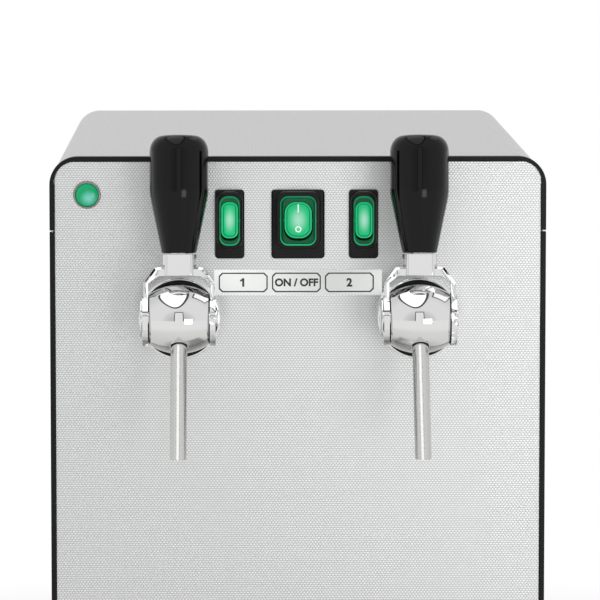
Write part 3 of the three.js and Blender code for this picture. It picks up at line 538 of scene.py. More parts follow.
def soften(piece, width, segments=3, angle=40):
    """Rounds every edge sharper than an angle."""
    return apply_modifier(
        piece, "BEVEL", width=width, segments=segments, limit_method="ANGLE",
        angle_limit=radians(angle), use_clamp_overlap=True, harden_normals=False)


def smooth(piece, angle=35):
    """Smooth shading in which large faces count most, so that flats stay flat beside rounded edges."""
    select_only(piece)
    bpy.ops.object.shade_smooth_by_angle(angle=radians(angle))
    return apply_modifier(piece, "WEIGHTED_NORMAL", keep_sharp=True, weight=60)


def copy_of(piece, name, move=(0, 0, 0)):
    """A copy with its own mesh, moved from the first one."""
    twin = piece.copy()
    twin.data = piece.data.copy()
    twin.name = name
    twin.data.name = name
    bpy.context.scene.collection.objects.link(twin)
    return place(twin, move)


def finish(piece, body, material, slot, *nodes):
    """Gives a piece its material and its body, and hides the nodes that it stands for. The slot is not used.
    """
    piece.data.materials.clear()
    piece.data.materials.append(material)
    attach(piece, body)
    if nodes:
        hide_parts(*nodes)
    return piece


def in_metres(points):
    """Points of an outline given in millimetres, as metres."""
    return [tuple(value * MM for value in point) for point in points]


def middle_of(low, high):
    """X and Z of the middle of a box."""
    return (low.x + high.x) / 2, (low.z + high.z) / 2


def add_flange(piece, side, half_width, sheet, depths, heights):
    """Joins an upright flange to one side of a sheet, between two depths and two heights."""
    across = sorted((side * half_width, side * (half_width - sheet)))
    combine(piece, cube(
        "flange", (across[0], depths[0], heights[0]), (across[1], depths[1], heights[1])), "UNION")


def drill(piece, radius, depths, x, z, sides):
    """Cuts a round hole along Y between two depths."""
    hole = turned("cutter", [(radius, depths[0]), (radius, depths[1])], (x, 0, z), "Y", sides)
    combine(piece, hole, "DIFFERENCE")


def round_front(piece, front, width, segments):
    """Rounds the edges of a plate's front face."""
    with editing(piece):
        pick(piece, "EDGE", lambda middle, along: middle.y < front + 0.1 * MM and abs(along.y) < 0.1)
        bpy.ops.mesh.bevel(offset=width, segments=segments, affect="EDGES")


# Sizes of the switches, which the front panel's cut-outs follow

SMALL_SWITCH = {
    "bezel": 13.9 * MM, "rim": 12.1 * MM, "housing": 11.6 * MM, "window": 10.0 * MM, "pad": 7.8 * MM}
LARGE_SWITCH = {
    "bezel": 25.1 * MM, "rim": 21.6 * MM, "housing": 19.6 * MM, "window": 17.4 * MM, "pad": 12.7 * MM}
SWITCH_SIZES = {"pump_1": SMALL_SWITCH, "main": LARGE_SWITCH, "pump_2": SMALL_SWITCH}
HOUSING_HEIGHT = 29.4 * MM
BEZEL_HEIGHT = 32.6 * MM
BEZEL_THICKNESS = 2.0 * MM
BEZEL_BACK = PANEL - FIT
BEZEL_FRONT = BEZEL_BACK - BEZEL_THICKNESS
RIM_HEIGHT = 27.4 * MM
RIM_PROUD = 4.5 * MM
RIM_FRONT = BEZEL_FRONT - RIM_PROUD
WINDOW_HEIGHT = 23.6 * MM
WINDOW_CORNER = 3.8 * MM
PAD_HEIGHT = 16.9 * MM
PAD_CORNER_SHARE = 0.41  # of the pad's width
SWITCH_TILT = radians(7)


# Cabinet

COVER_SHEET = 1.0 * MM
SHEET = 1.2 * MM  # front, rear and base
FLANGE = 14.0 * MM  # behind the front panel


def cover():
    """The folded top and sides: a box with two rounded edges, opened and given its thickness."""
    low, high = COVER_LOW, COVER_HIGH
    radius = 12.65 * MM
    piece = cube("cover_sheet", low, high)
    with editing(piece):
        pick(piece, "EDGE", lambda middle, along: middle.z > high.z - MM and abs(along.y) > 0.9)
        bpy.ops.mesh.bevel(offset=radius, segments=20, affect="EDGES")
        pick(piece, "FACE", lambda middle, normal: abs(normal.y) > 0.9 or normal.z < -0.9)
        bpy.ops.mesh.delete(type="FACE")
        bpy.ops.mesh.select_all(action="SELECT")
        bpy.ops.mesh.normals_make_consistent(inside=False)
    apply_modifier(piece, "SOLIDIFY", thickness=COVER_SHEET, offset=-1.0)
    soften(piece, 0.2 * MM, 2, 60)
    smooth(piece, 30)
    finish(piece, "cabinet", COVER_STEEL, "brushed_steel", "cover_shell")


cover()

TRIM_LIP = 0.5 * MM
TRIM_NOSE = 1.5 * MM
TRIM_GRIP = 3.0 * MM
TRIM_WIDTH = 2.3 * MM
TRIM_CHANNEL = 1.8 * MM
TRIM_RADIUS = 13.3 * MM


def trim_lengths():
    """The black edge profile: nose and outer lip turn the corners, the inner lip only runs straight."""
    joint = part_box("edge_trim_top")[0].z
    section = [
        (-HALF_WIDTH, -TRIM_NOSE), (TRIM_CHANNEL - HALF_WIDTH, -TRIM_NOSE),
        (TRIM_CHANNEL - HALF_WIDTH, 0), (TRIM_LIP - HALF_WIDTH, 0),
        (TRIM_LIP - HALF_WIDTH, TRIM_GRIP), (-HALF_WIDTH, TRIM_GRIP)]
    rise = TOP - TRIM_RADIUS - joint
    run = 2 * (HALF_WIDTH - TRIM_RADIUS)
    top = plate("edge_profile_top", section, rise, "Z")
    with editing(top):
        pick(top, "FACE", lambda middle, normal: normal.z > 0.9)
        bpy.ops.mesh.spin(
            steps=14, angle=-pi / 2, center=(TRIM_RADIUS - HALF_WIDTH, 0, rise), axis=(0, 1, 0))
        extrude((run, 0, 0))
        bpy.ops.mesh.spin(
            steps=14, angle=-pi / 2, center=(HALF_WIDTH - TRIM_RADIUS, 0, rise), axis=(0, 1, 0))
        extrude((0, 0, -rise))
        bpy.ops.mesh.select_all(action="SELECT")
        bpy.ops.mesh.remove_doubles(threshold=1e-6)
        bpy.ops.mesh.normals_make_consistent(inside=False)
    place(top, (0, PANEL, joint))
    inner = [TRIM_CHANNEL - 0.1 * MM, TRIM_WIDTH]
    straight = HALF_WIDTH - TRIM_RADIUS
    lips = [cube(
        "lip", (-straight, PANEL - TRIM_NOSE, TOP - inner[1]),
        (straight, PANEL + TRIM_GRIP, TOP - inner[0]))]
    for side in (-1, 1):
        across = sorted(side * (HALF_WIDTH - step) for step in inner)
        lips.append(cube(
            "lip", (across[0], PANEL - TRIM_NOSE, joint),
            (across[1], PANEL + TRIM_GRIP, TOP - TRIM_RADIUS)))
    for lip in lips:
        combine(top, lip, "UNION")
    soften(top, 0.42 * MM, 3, 50)
    smooth(top, 40)
    finish(top, "cabinet", TRIM_PVC, "black_rubber", "edge_trim_top")
    full = [
        (-HALF_WIDTH, -TRIM_NOSE), (TRIM_WIDTH - HALF_WIDTH, -TRIM_NOSE),
        (TRIM_WIDTH - HALF_WIDTH, TRIM_GRIP), (TRIM_CHANNEL - HALF_WIDTH, TRIM_GRIP),
        (TRIM_CHANNEL - HALF_WIDTH, 0), (TRIM_LIP - HALF_WIDTH, 0),
        (TRIM_LIP - HALF_WIDTH, TRIM_GRIP), (-HALF_WIDTH, TRIM_GRIP)]
    low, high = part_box("edge_trim_left")
    left = plate("edge_profile_left", full, high.z - low.z, "Z")
    place(left, (0, PANEL, low.z))
    soften(left, 0.42 * MM, 3, 50)
    right = copy_of(left, "edge_profile_right")
    with editing(right):
        bpy.ops.transform.resize(value=(-1, 1, 1), center_override=(0, 0, 0))
        bpy.ops.mesh.normals_make_consistent(inside=False)
    for piece, side in ((left, "left"), (right, "right")):
        smooth(piece, 40)
        finish(piece, "cabinet", TRIM_PVC, "black_rubber", f"edge_trim_{side}")


trim_lengths()


def front_panel():
    """The linen sheet with its round upper corners, side flanges and cut-outs."""
    low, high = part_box("front_panel")
    corner = 9.0 * MM
    lamp_hole = 6.2 * MM
    tap_hole = 8.3 * MM
    piece = cube("front_sheet", low, (high.x, low.y + SHEET, high.z))
    with editing(piece):
        pick(piece, "EDGE", lambda middle, along: middle.z > high.z - MM and abs(along.y) > 0.9)
        bpy.ops.mesh.bevel(offset=corner, segments=14, affect="EDGES")
    for side in (-1, 1):
        add_flange(
            piece, side, high.x, SHEET, (low.y + SHEET / 2, low.y + FLANGE), (low.z, high.z - corner))
    through = (low.y - FLANGE, low.y + SHEET + 2 * MM)
    for name in SWITCHES:
        x, z = middle_of(*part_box(f"switch_housing_{name}"))
        half = SWITCH_SIZES[name]["housing"] / 2 + FIT
        height = HOUSING_HEIGHT / 2 + FIT
        combine(piece, cube(
            "cutter", (x - half, through[0], z - height), (x + half, through[1], z + height)),
            "DIFFERENCE")
    drill(piece, lamp_hole, through, *middle_of(*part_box("lamp_ring")), 48)
    for pivot in PIVOTS.values():
        drill(piece, tap_hole, through, pivot.x, pivot.z, 48)
    soften(piece, 0.25 * MM, 2, 50)
    smooth(piece, 30)
    finish(piece, "cabinet", LINEN, "linen_steel", "front_panel")


front_panel()


def pan_head(name, centre, facing, radius=3.2 * MM, height=1.7 * MM):
    """A cross-recess pan-head screw on a face, its head pulled out and its recess pressed in."""
    profile = [(radius, 0), (radius, height * 0.35), (radius * 0.92, height * 0.7),
               (radius * 0.7, height * 0.94), (radius * 0.35, height)]
    head = turned(name, profile, sides=32)
    arm = radius * 0.62
    wing = radius * 0.14
    floor = height * 0.45
    for x, y in ((arm, wing), (wing, arm)):
        combine(head, cube("cutter", (-x, -y, floor), (x, y, 2 * height)), "DIFFERENCE")
    return place(head, centre, facing)


def rear_panel():
    """The louvred rear sheet with its screws."""
    low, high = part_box("rear_panel")
    corner = 11.35 * MM
    piece = cube("rear_sheet", (low.x, high.y - SHEET, low.z), high)
    with editing(piece):
        pick(piece, "EDGE", lambda middle, along: middle.z > high.z - MM and abs(along.y) > 0.9)
        bpy.ops.mesh.bevel(offset=corner, segments=12, affect="EDGES")
    for side in (-1, 1):
        add_flange(piece, side, high.x, SHEET, (low.y, high.y - SHEET / 2), (low.z, high.z - corner))
    vent_width = 76 * MM
    vent_height = 3.4 * MM
    vent_side = 52 * MM
    first_vent = 40
    vent_pitch = 9
    for row in range(8):
        z = TOP - (first_vent + vent_pitch * row) * MM
        for x in (-vent_side, vent_side):
            cutter = plate("cutter", rounded(vent_width, vent_height, vent_height / 2, x, z, 4), 3 * SHEET)
            place(cutter, (0, high.y - 2 * SHEET, 0))
            combine(piece, cutter, "DIFFERENCE")
    inlet_hole = 7.3 * MM
    gland_hole = 9.9 * MM
    through = (high.y - 2 * SHEET, high.y + SHEET)
    for node, radius in (
            ("wine_inlet_left", inlet_hole), ("wine_inlet_right", inlet_hole), ("cable_gland", gland_hole)):
        drill(piece, radius, through, *middle_of(*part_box(node)), 32)
    soften(piece, 0.2 * MM, 2, 50)
    smooth(piece, 30)
    finish(piece, "cabinet", PAN_STEEL, "brushed_steel", "rear_panel")
    screw_side = 104 * MM
    screw_heights = (300 * MM, 170 * MM, 34 * MM)
    spots = [Vector((side * screw_side, high.y, height)) for height in screw_heights for side in (-1, 1)]
    first = pan_head("rear_screw_1", spots[0], (-pi / 2, 0, 0))
    smooth(first, 35)
    finish(first, "cabinet", NICKEL, "nickel_brass")
    for number, spot in enumerate(spots[1:], start=2):
        screw = copy_of(first, f"rear_screw_{number}", spot - spots[0])
        finish(screw, "cabinet", NICKEL, "nickel_brass")


rear_panel()


def base_pan():
    """The folded base: a floor sheet with upright lips along both sides."""
    low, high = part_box("base_pan")
    floor = cube("base_sheet", low, (high.x, high.y, low.z + SHEET))
    shelf_back = PANEL - 2.5 * MM
    shelf_rise = 10 * MM
    inner_rise = 14 * MM
    inside = (PANEL + FLANGE + FIT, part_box("rear_panel")[0].y - FIT)
    for side in (-1, 1):
        for depths, rise in (((low.y, shelf_back), shelf_rise), (inside, inner_rise)):
            add_flange(floor, side, high.x, SHEET, depths, (low.z + SHEET / 2, low.z + SHEET + rise))
    soften(floor, 0.4 * MM, 3, 50)
    smooth(floor, 30)
    finish(floor, "cabinet", PAN_STEEL, "brushed_steel", "base_pan")


base_pan()


def feet():
    """Four turned rubber feet with a chamfered sole and a groove under the sheet."""
    first = None
    for row in ("front", "rear"):
        for side in ("left", "right"):
            low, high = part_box(f"foot_{row}_{side}")
            centre = Vector(((low.x + high.x) / 2, (low.y + high.y) / 2, 0))
            if first is None:
                top = high.z / MM
                profile = [
                    (11.3, 0), (12.4, 0.4), (13, 1.5), (12.9, 3), (11.6, top - 4), (11.1, top - 2.6),
                    (10.6, top - 2.2), (10.6, top - 1.6), (11, top - 1.2), (11, top)]
                first = turned("rubber_foot_1", in_metres(profile), centre, "Z", 64)
                smooth(first, 35)
                foot, origin = first, centre
            else:
                foot = copy_of(first, f"rubber_foot_{row}_{side}", centre - origin)
            finish(foot, "cabinet", RUBBER, "black_rubber", f"foot_{row}_{side}")


feet()


# Drip tray

def drip_tray():
    """The deep-drawn tray: an outline pulled up, its top inset by the wall and pushed down again."""
    low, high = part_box("drip_tray")
    wall = 1.2 * MM
    corner = 10 * MM
    centre = (low + high) / 2
    outline = rounded(high.x - low.x, high.y - low.y, corner, centre.x, centre.y, 10)
    tray = plate("drip_tray_drawn", outline, high.z - low.z, "Z")
    place(tray, (0, 0, low.z))
    with editing(tray):
        pick(tray, "FACE", lambda middle, normal: normal.z > 0.9)
        bpy.ops.mesh.inset(thickness=wall)
        extrude((0, 0, wall - (high.z - low.z)))
    soften(tray, 0.5 * MM, 3, 50)
    smooth(tray, 35)
    finish(tray, "tray", PAN_STEEL, "brushed_steel", "drip_tray")


drip_tray()


def drip_grid():
    """The punched grid: a plate with two columns of round-ended slots and four legs."""
    low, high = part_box("drip_grid")
    sheet = 1.5 * MM
    corner = 8.3 * MM
    centre = (low + high) / 2
    width = high.x - low.x
    depth = high.y - low.y
    outline = rounded(width, depth, corner, centre.x, centre.y, 8)
    grid = plate("drip_grid_punched", outline, sheet, "Z")
    place(grid, (0, 0, high.z - sheet))
    slot_width = 3.6 * MM
    pitch = 9.6 * MM
    margin = 14 * MM
    length = width / 2 - 2 * margin
    rows = 11
    for row in range(rows):
        for side in (-1, 1):
            y = centre.y + (row - rows // 2) * pitch
            outline = rounded(length, slot_width, slot_width / 2, side * width / 4, y, 5)
            cutter = plate("cutter", outline, 3 * sheet, "Z")
            place(cutter, (0, 0, high.z - 2 * sheet))
            combine(grid, cutter, "DIFFERENCE")
    soften(grid, 0.35 * MM, 2, 50)
    leg = 5 * MM
    inset = 8 * MM
    for side_x in (-1, 1):
        for side_y in (-1, 1):
            x = side_x * (width / 2 - inset)
            y = centre.y + side_y * (depth / 2 - inset)
            combine(grid, cube(
                "leg", (x - leg / 2, y - leg / 2, low.z), (x + leg / 2, y + leg / 2, high.z - sheet / 2)),
                "UNION")
    smooth(grid, 30)
    finish(grid, "grid", PAN_STEEL, "brushed_steel", "drip_grid")


drip_grid()


# Controls

def switch_housing(name):
    """The black housing: bezel and rim pulled out of it, the window cut back through both."""
    size = SWITCH_SIZES[name]
    low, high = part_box(f"switch_housing_{name}")
    x, z = middle_of(low, high)
    rim_z = Vector(JOINTS[f"rocker_tilt_{name}"]["pos_m"]).z
    outline = rounded(size["bezel"], BEZEL_HEIGHT, 1.7 * MM, x, z, 6)
    housing = plate(f"housing_{name}", outline, BEZEL_THICKNESS)
    place(housing, (0, BEZEL_FRONT, 0))
    round_front(housing, BEZEL_FRONT, 1.1 * MM, 4)
    outline = rounded(size["rim"], RIM_HEIGHT, 4.6 * MM, x, rim_z, 10)
    rim = plate("rim", outline, BEZEL_FRONT - RIM_FRONT + MM)
    place(rim, (0, RIM_FRONT, 0))
    round_front(rim, RIM_FRONT, 1.3 * MM, 5)
    combine(housing, rim, "UNION")
    half_width = size["housing"] / 2
    half_height = HOUSING_HEIGHT / 2
    box = cube(
        "box", (x - half_width, BEZEL_BACK - 0.5 * MM, z - half_height),
        (x + half_width, high.y, z + half_height))
    combine(housing, box, "UNION")
    outline = rounded(size["window"], WINDOW_HEIGHT, WINDOW_CORNER, x, rim_z, 10)
    window = plate("cutter", outline, 14 * MM)
    place(window, (0, RIM_FRONT - 2 * MM, 0))
    combine(housing, window, "DIFFERENCE")
    smooth(housing, 32)
    finish(housing, "cabinet", POLYAMIDE, "black_plastic", f"switch_housing_{name}")


def ring_of(name, outer, inner, thickness):
    """A frame between two outlines: the outer plate with the inner one cut out."""
    frame_piece = plate(name, outer, thickness)
    cutter = plate("cutter", inner, 3 * thickness)
    place(cutter, (0, -thickness, 0))
    return combine(frame_piece, cutter, "DIFFERENCE")


BOOT_STEPS = ((0.3, 0.02), (0.24, 0.3), (0.29, 0.45), (0.17, 0.18))  # shares of its run and rise


def switch_boot(name):
    """The clear green boot: a lip in the window and a slope that rises to an opening round the pad."""
    size = SWITCH_SIZES[name]
    low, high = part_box(f"switch_boot_{name}")
    x, z = middle_of(low, high)
    width = high.x - low.x + 0.2 * MM
    height = high.z - low.z + 0.2 * MM
    gap = min(0.5 * MM, (width - size["pad"]) / 5)
    open_width = size["pad"] + 2 * gap
    open_height = PAD_HEIGHT + 1.5 * MM
    boot = plate(f"boot_{name}", rounded(width, height, WINDOW_CORNER, x, z, 10), 0.9 * MM)
    place(boot, (0, RIM_FRONT - 0.2 * MM, 0))
    slope = (width - open_width) / 2
    reach = min(slope * 0.85, slope - 0.2 * MM)
    rise = RIM_FRONT - 0.2 * MM - low.y
    with editing(boot):
        pick(boot, "FACE", lambda middle, normal: normal.y < -0.9)
        for share, climb in BOOT_STEPS:
            bpy.ops.mesh.inset(thickness=reach * share)
            bpy.ops.transform.translate(value=(0, -rise * climb, 0))
    outline = rounded(open_width, open_height, size["pad"] * PAD_CORNER_SHARE + gap, x, z, 12)
    opening = plate("cutter", outline, 9 * MM)
    place(opening, (0, RIM_FRONT - 5 * MM, 0))
    combine(boot, opening, "DIFFERENCE")
    soften(boot, 0.07 * MM, 2, 50)
    smooth(boot, 40)
    look = clear_green_pvc(
        f"clear_green_pvc_{name}", (x, RIM_FRONT, z), width / 2, height / 2, WINDOW_CORNER)
    finish(boot, "cabinet", look, "green_boot", f"switch_boot_{name}")


def switch_rocker(name):
    """The lit rocker: a long pad with a raised border, on its two trunnions."""
    size = SWITCH_SIZES[name]
    pivot = Vector(JOINTS[f"rocker_tilt_{name}"]["pos_m"])
    rise = 5.0 * MM
    depth = 6.0 * MM
    corner = size["pad"] * PAD_CORNER_SHARE
    pad = plate(f"rocker_{name}", rounded(size["pad"], PAD_HEIGHT, corner, 0, 0, 12), depth)
    place(pad, (0, -rise, 0))
    border = 0.85 * MM
    with editing(pad):
        pick(pad, "FACE", lambda middle, normal: normal.y < -0.9)
        bpy.ops.mesh.inset(thickness=border)
        bpy.ops.mesh.inset(thickness=0.18 * MM)
        extrude((0, 0.35 * MM, 0))
        bpy.ops.mesh.inset(thickness=0.15 * MM)
        extrude((0, -0.55 * MM, 0))
        for step in (0.5, 0.45):
            bpy.ops.mesh.inset(thickness=step * MM)
            bpy.ops.transform.translate(value=(0, -0.12 * MM, 0))
    soften(pad, 0.12 * MM, 2, 50)
    half = size["window"] / 2 + 0.5 * MM
    pin = turned("pin", [(0.7 * MM, -half), (0.7 * MM, half)], (0, 0, 0), "X", 24)
    combine(pad, pin, "UNION")
    smooth(pad, 32)
    place(pad, pivot, (-SWITCH_TILT, 0, 0))
    middle = (pivot.x, pivot.y - rise * cos(SWITCH_TILT), pivot.z + rise * sin(SWITCH_TILT))
    # the outline gives the rocker its painted shade in the groove and on its sides
    glow = lit_polycarbonate(
        f"lit_green_polycarbonate_{name}", middle, (size["pad"] * 0.42, 9 * MM, PAD_HEIGHT * 0.42),
        outline=(size["pad"] / 2, PAD_HEIGHT / 2, corner, border))
    finish(pad, f"rocker_{name}", glow, "green_lens", f"switch_rocker_{name}")
    return pivot, rise


def switch_marks(pivot, rise):
    """The white bar and ring printed on the large rocker."""
    face = -rise - 0.5 * MM
    print_thickness = 0.1 * MM
    bar_height = 5.5 * MM
    ring_height = -4.3 * MM
    bar = plate("mark_on", rounded(0.6 * MM, 4.0 * MM, 0.29 * MM, 0, bar_height, 4), print_thickness)
    place(bar, (0, face, 0))
    ring = ring_of(
        "mark_off", rounded(3.0 * MM, 3.0 * MM, 1.5 * MM, 0, ring_height, 8),
        rounded(1.8 * MM, 1.8 * MM, 0.9 * MM, 0, ring_height, 8), print_thickness)
    place(ring, (0, face, 0))
    for mark in (bar, ring):
        place(mark, pivot, (-SWITCH_TILT, 0, 0))
        finish(mark, "rocker_main", WHITE_INK, "label_film")


for switch in SWITCHES:
    switch_housing(switch)
    switch_boot(switch)
    switch_place = switch_rocker(switch)
    if switch == "main":
        switch_marks(*switch_place)


def lamp():
    """The signal lamp: a satin nickel ring with a domed lens set a little back in it."""
    low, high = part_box("lamp_ring")
    x, z = middle_of(low, high)
    front = -FIT - 1.6 * MM
    outer = 6.45 * MM
    bore = 5.5 * MM
    ring = turned("lamp_bezel", [
        (5.9 * MM, 14 * MM), (5.9 * MM, -FIT), (outer, -FIT), (outer, front + 0.7 * MM),
        (outer - 0.2 * MM, front + 0.2 * MM), (outer - 0.5 * MM, front), (bore + 0.25 * MM, front),
        (bore, front + 0.3 * MM), (bore, 8 * MM)], (x, PANEL, z), "Y", 72)
    smooth(ring, 35)
    finish(ring, "cabinet", RING_NICKEL, "chrome", "lamp_ring")
    radius = bore - 0.15 * MM
    shoulder = front + 0.75 * MM
    dome = 1.5 * MM
    profile = [(radius, 7.5 * MM), (radius, shoulder)]
    for step in range(1, 11):
        angle = step / 11 * pi / 2
        profile.append((radius * cos(angle), shoulder - dome * sin(angle)))
    profile.append((radius * 0.03, shoulder - dome))
    lens = turned("lamp_dome", profile, (x, PANEL, z), "Y", 72)
    smooth(lens, 35)
    # the lamp glows green; its pale cyan spot below and right of the middle is a painted reflection
    glow = lit_polycarbonate(
        "lit_lamp_polycarbonate", (x + 0.8 * MM, PANEL + shoulder - dome, z - 1.4 * MM),
        (4.9 * MM, 7 * MM, 4.5 * MM), "#0b9660", "#8ee0dc")
    finish(lens, "cabinet", glow, "green_lens", "lamp_lens")


lamp()


def words(name, text, height, centre, bold=0.0):
    """Plain words as a thin raised print on the label, centred on a place."""
    deselect()
    bpy.ops.object.text_add()
    piece = bpy.context.object
    piece.data.body = text
    piece.data.size = height
    piece.data.align_x = "CENTER"
    piece.data.align_y = "CENTER"
    piece.data.offset = bold
    piece.data.extrude = 0.03 * MM
    bpy.ops.object.convert(target="MESH")
    piece.name = name
    piece.data.name = name
    heights = [vertex.co.y for vertex in piece.data.vertices]
    lift = (min(heights) + max(heights)) / 2
    return place(piece, (centre[0], centre[1], centre[2] - lift), (pi / 2, 0, 0))


def label():
    """The white strip with its three framed fields."""
    low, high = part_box("label_strip")
    z = (low.z + high.z) / 2
    strip = cube("label_film", low, high)
    soften(strip, 0.08 * MM, 2, 50)
    smooth(strip, 30)
    finish(strip, "cabinet", LABEL, "label_film", "label_strip")
    field_width = 23.1 * MM
    field_height = 9.3 * MM
    line = 0.6 * MM
    print_face = low.y - 0.03 * MM
    figure_size = 5.3 * MM
    word_size = 4.85 * MM
    fields = (
        (-25.85 * MM, "1", figure_size), (-0.75 * MM, "ON / OFF", word_size), (24.25 * MM, "2", figure_size))
    for number, (x, text, size) in enumerate(fields, start=1):
        border = ring_of(
            f"label_frame_{number}", rounded(field_width, field_height, 1.6 * MM, x, z, 1),
            rounded(field_width - 2 * line, field_height - 2 * line, 1.35 * MM, x, z, 1), 0.06 * MM)
        place(border, (0, print_face - 0.01 * MM, 0))
        finish(border, "cabinet", INK, "black_rubber")
        piece = words(f"label_words_{number}", text, size, (x, print_face, z), 0.2 * MM)
        finish(piece, "cabinet", INK, "black_rubber")
    # the slanting stroke at the top of the figure 1
    flag = plate("label_flag_1", rounded(1.7 * MM, 0.75 * MM, 0.05 * MM, 0, 0, 2), 0.06 * MM)
    place(flag, (-26.55 * MM, print_face - 0.03 * MM, z + 1.15 * MM), (0, -radians(38), 0))
    finish(flag, "cabinet", INK, "black_rubber")


label()


# Taps

# in millimetres from the lever's pivot
BARREL_HALF = 13.8
BARREL_RADIUS = 15.9
BARREL_END = 11.7
BARREL_DROP = 0.6  # the barrel's axis lies this far under the pivot
SHOULDER_DROP = 1.7
SPOUT_TILT = radians(37.1)
LEVER_LEAN = radians(6)


def tap_body(side, pivot):
    """The chromed tap: a crowned barrel turned about X, joined to the shoulder and neck behind it."""
    sagitta = BARREL_RADIUS - BARREL_END
    arc = (BARREL_HALF ** 2 + sagitta ** 2) / (2 * sagitta)
    steps = 40
    flat = 0.25
    profile = [((BARREL_END - 0.3) * MM, -BARREL_HALF * MM)]
    for step in range(steps + 1):
        x = (BARREL_HALF - flat) * (2 * step / steps - 1)
        profile.append(((BARREL_RADIUS - arc + sqrt(arc ** 2 - x ** 2)) * MM, x * MM))
    profile.append(((BARREL_END - 0.3) * MM, BARREL_HALF * MM))
    body = turned(f"tap_casting_{side}", profile, (0, 0, -BARREL_DROP * MM), "X", 144)
    shoulder = [
        (9.0, 4), (12.0, 12.6), (17.9, 12.9), (18.6, 13.05), (18.92, 13.3), (19.0, 13.8), (19.0, 33),
        (18.8, 33.6), (18.3, 34), (15.2, 34.2), (10.0, 34.3)]
    neck = [(9.0, 5), (12.0, 12.8), (12.5, 30), (12.5, 46.0), (12.2, 46.4), (8.0, 46.4), (8.0, 76.2)]
    for profile, drop in ((shoulder, SHOULDER_DROP), (neck, 0)):
        behind = turned("behind", in_metres(profile), (0, 0, -drop * MM), "Y", 112)
        combine(body, behind, "UNION")
    drill = turned("cutter", [(4.55 * MM, -30 * MM), (4.55 * MM, -13.2 * MM)], (0, 0, 0), "Z", 48)
    place(drill, (0, 0, 0), (-SPOUT_TILT, 0, 0))
    combine(body, drill, "DIFFERENCE")
    smooth(body, 28)
    place(body, pivot)
    return finish(body, "cabinet", CHROME, "chrome", f"tap_body_{side}")


def gap_shade_ring(side, pivot):
    """A black ring between the barrel and the shoulder: painted shade standing in for the dark gap there."""
    profile = [
        (13.0, 13.4), (13.0, 12.4), (13.3, 12.1), (17.1, 12.1), (17.6, 12.2), (17.95, 12.5), (18.1, 12.9),
        (18.2, 13.4)]
    piece = turned(f"gap_shade_ring_{side}", in_metres(profile), (0, 0, 0), "Y", 96)
    place(piece, pivot + Vector((0, 0, -SHOULDER_DROP * MM)))
    smooth(piece, 35)
    return finish(piece, "cabinet", TRIM_PVC, "black_rubber")


def rosette(side, pivot):
    """The turned flange that covers the tap's hole in the panel."""
    profile = [
        (16.0, 49.7), (16.0, 48.4), (15.8, 47.7), (15.3, 47.1), (14.5, 46.75), (13.6, 46.7), (8.4, 46.7)]
    piece = turned(f"rosette_{side}", in_metres(profile), (0, 0, 0), "Y", 96)
    place(piece, pivot)
    smooth(piece, 35)
    return finish(piece, "cabinet", CHROME, "chrome", f"tap_rosette_{side}")


def spout(side, pivot):
    """The drawn tube: a ring pulled down its slanting axis, cut level at its end."""
    length = 84 * MM
    deselect()
    bpy.ops.mesh.primitive_circle_add(
        vertices=64, radius=3.8 * MM, fill_type="NOTHING", location=(0, 0, -11.1 * MM))
    tube = settle(f"spout_tube_{side}")
    with editing(tube):
        extrude((0, 0, -length))
        bpy.ops.mesh.select_all(action="SELECT")
        bpy.ops.mesh.normals_make_consistent(inside=False)
    place(tube, (0, 0, 0), (-SPOUT_TILT, 0, 0))
    apply_modifier(tube, "SOLIDIFY", thickness=0.75 * MM, offset=-1.0)
    with editing(tube):
        bpy.ops.mesh.bisect(
            plane_co=(0, 0, -59.3 * MM), plane_no=(0, 0, -1), use_fill=False, clear_outer=True)
        pick(tube, "EDGE", lambda middle, along: middle.z < -59.25 * MM and abs(along.z) < 0.05)
        bpy.ops.mesh.bridge_edge_loops()
        bpy.ops.mesh.select_all(action="SELECT")
        bpy.ops.mesh.normals_make_consistent(inside=False)
    soften(tube, 0.12 * MM, 2, 60)
    smooth(tube, 35)
    place(tube, pivot)
    return finish(tube, "cabinet", TUBE, "satin_tube", f"spout_{side}")


def pivot_pin(side, pivot):
    """The pin across the barrel: a broad turned cap on one ear and a riveted end on the other."""
    profile = [
        (7.9, -18.1), (8.8, -17.98), (9.12, -17.7), (9.2, -17.15), (3.0, -17.15), (3.0, 17.1), (4.0, 17.1),
        (4.0, 17.6), (3.7, 18.0), (3.0, 18.1), (1.0, 18.1)]
    piece = turned(f"lever_pin_{side}", in_metres(profile), (0, 0, 0), "X", 64)
    place(piece, pivot)
    smooth(piece, 35)
    return finish(piece, "cabinet", CHROME, "chrome", f"pivot_pin_{side}")


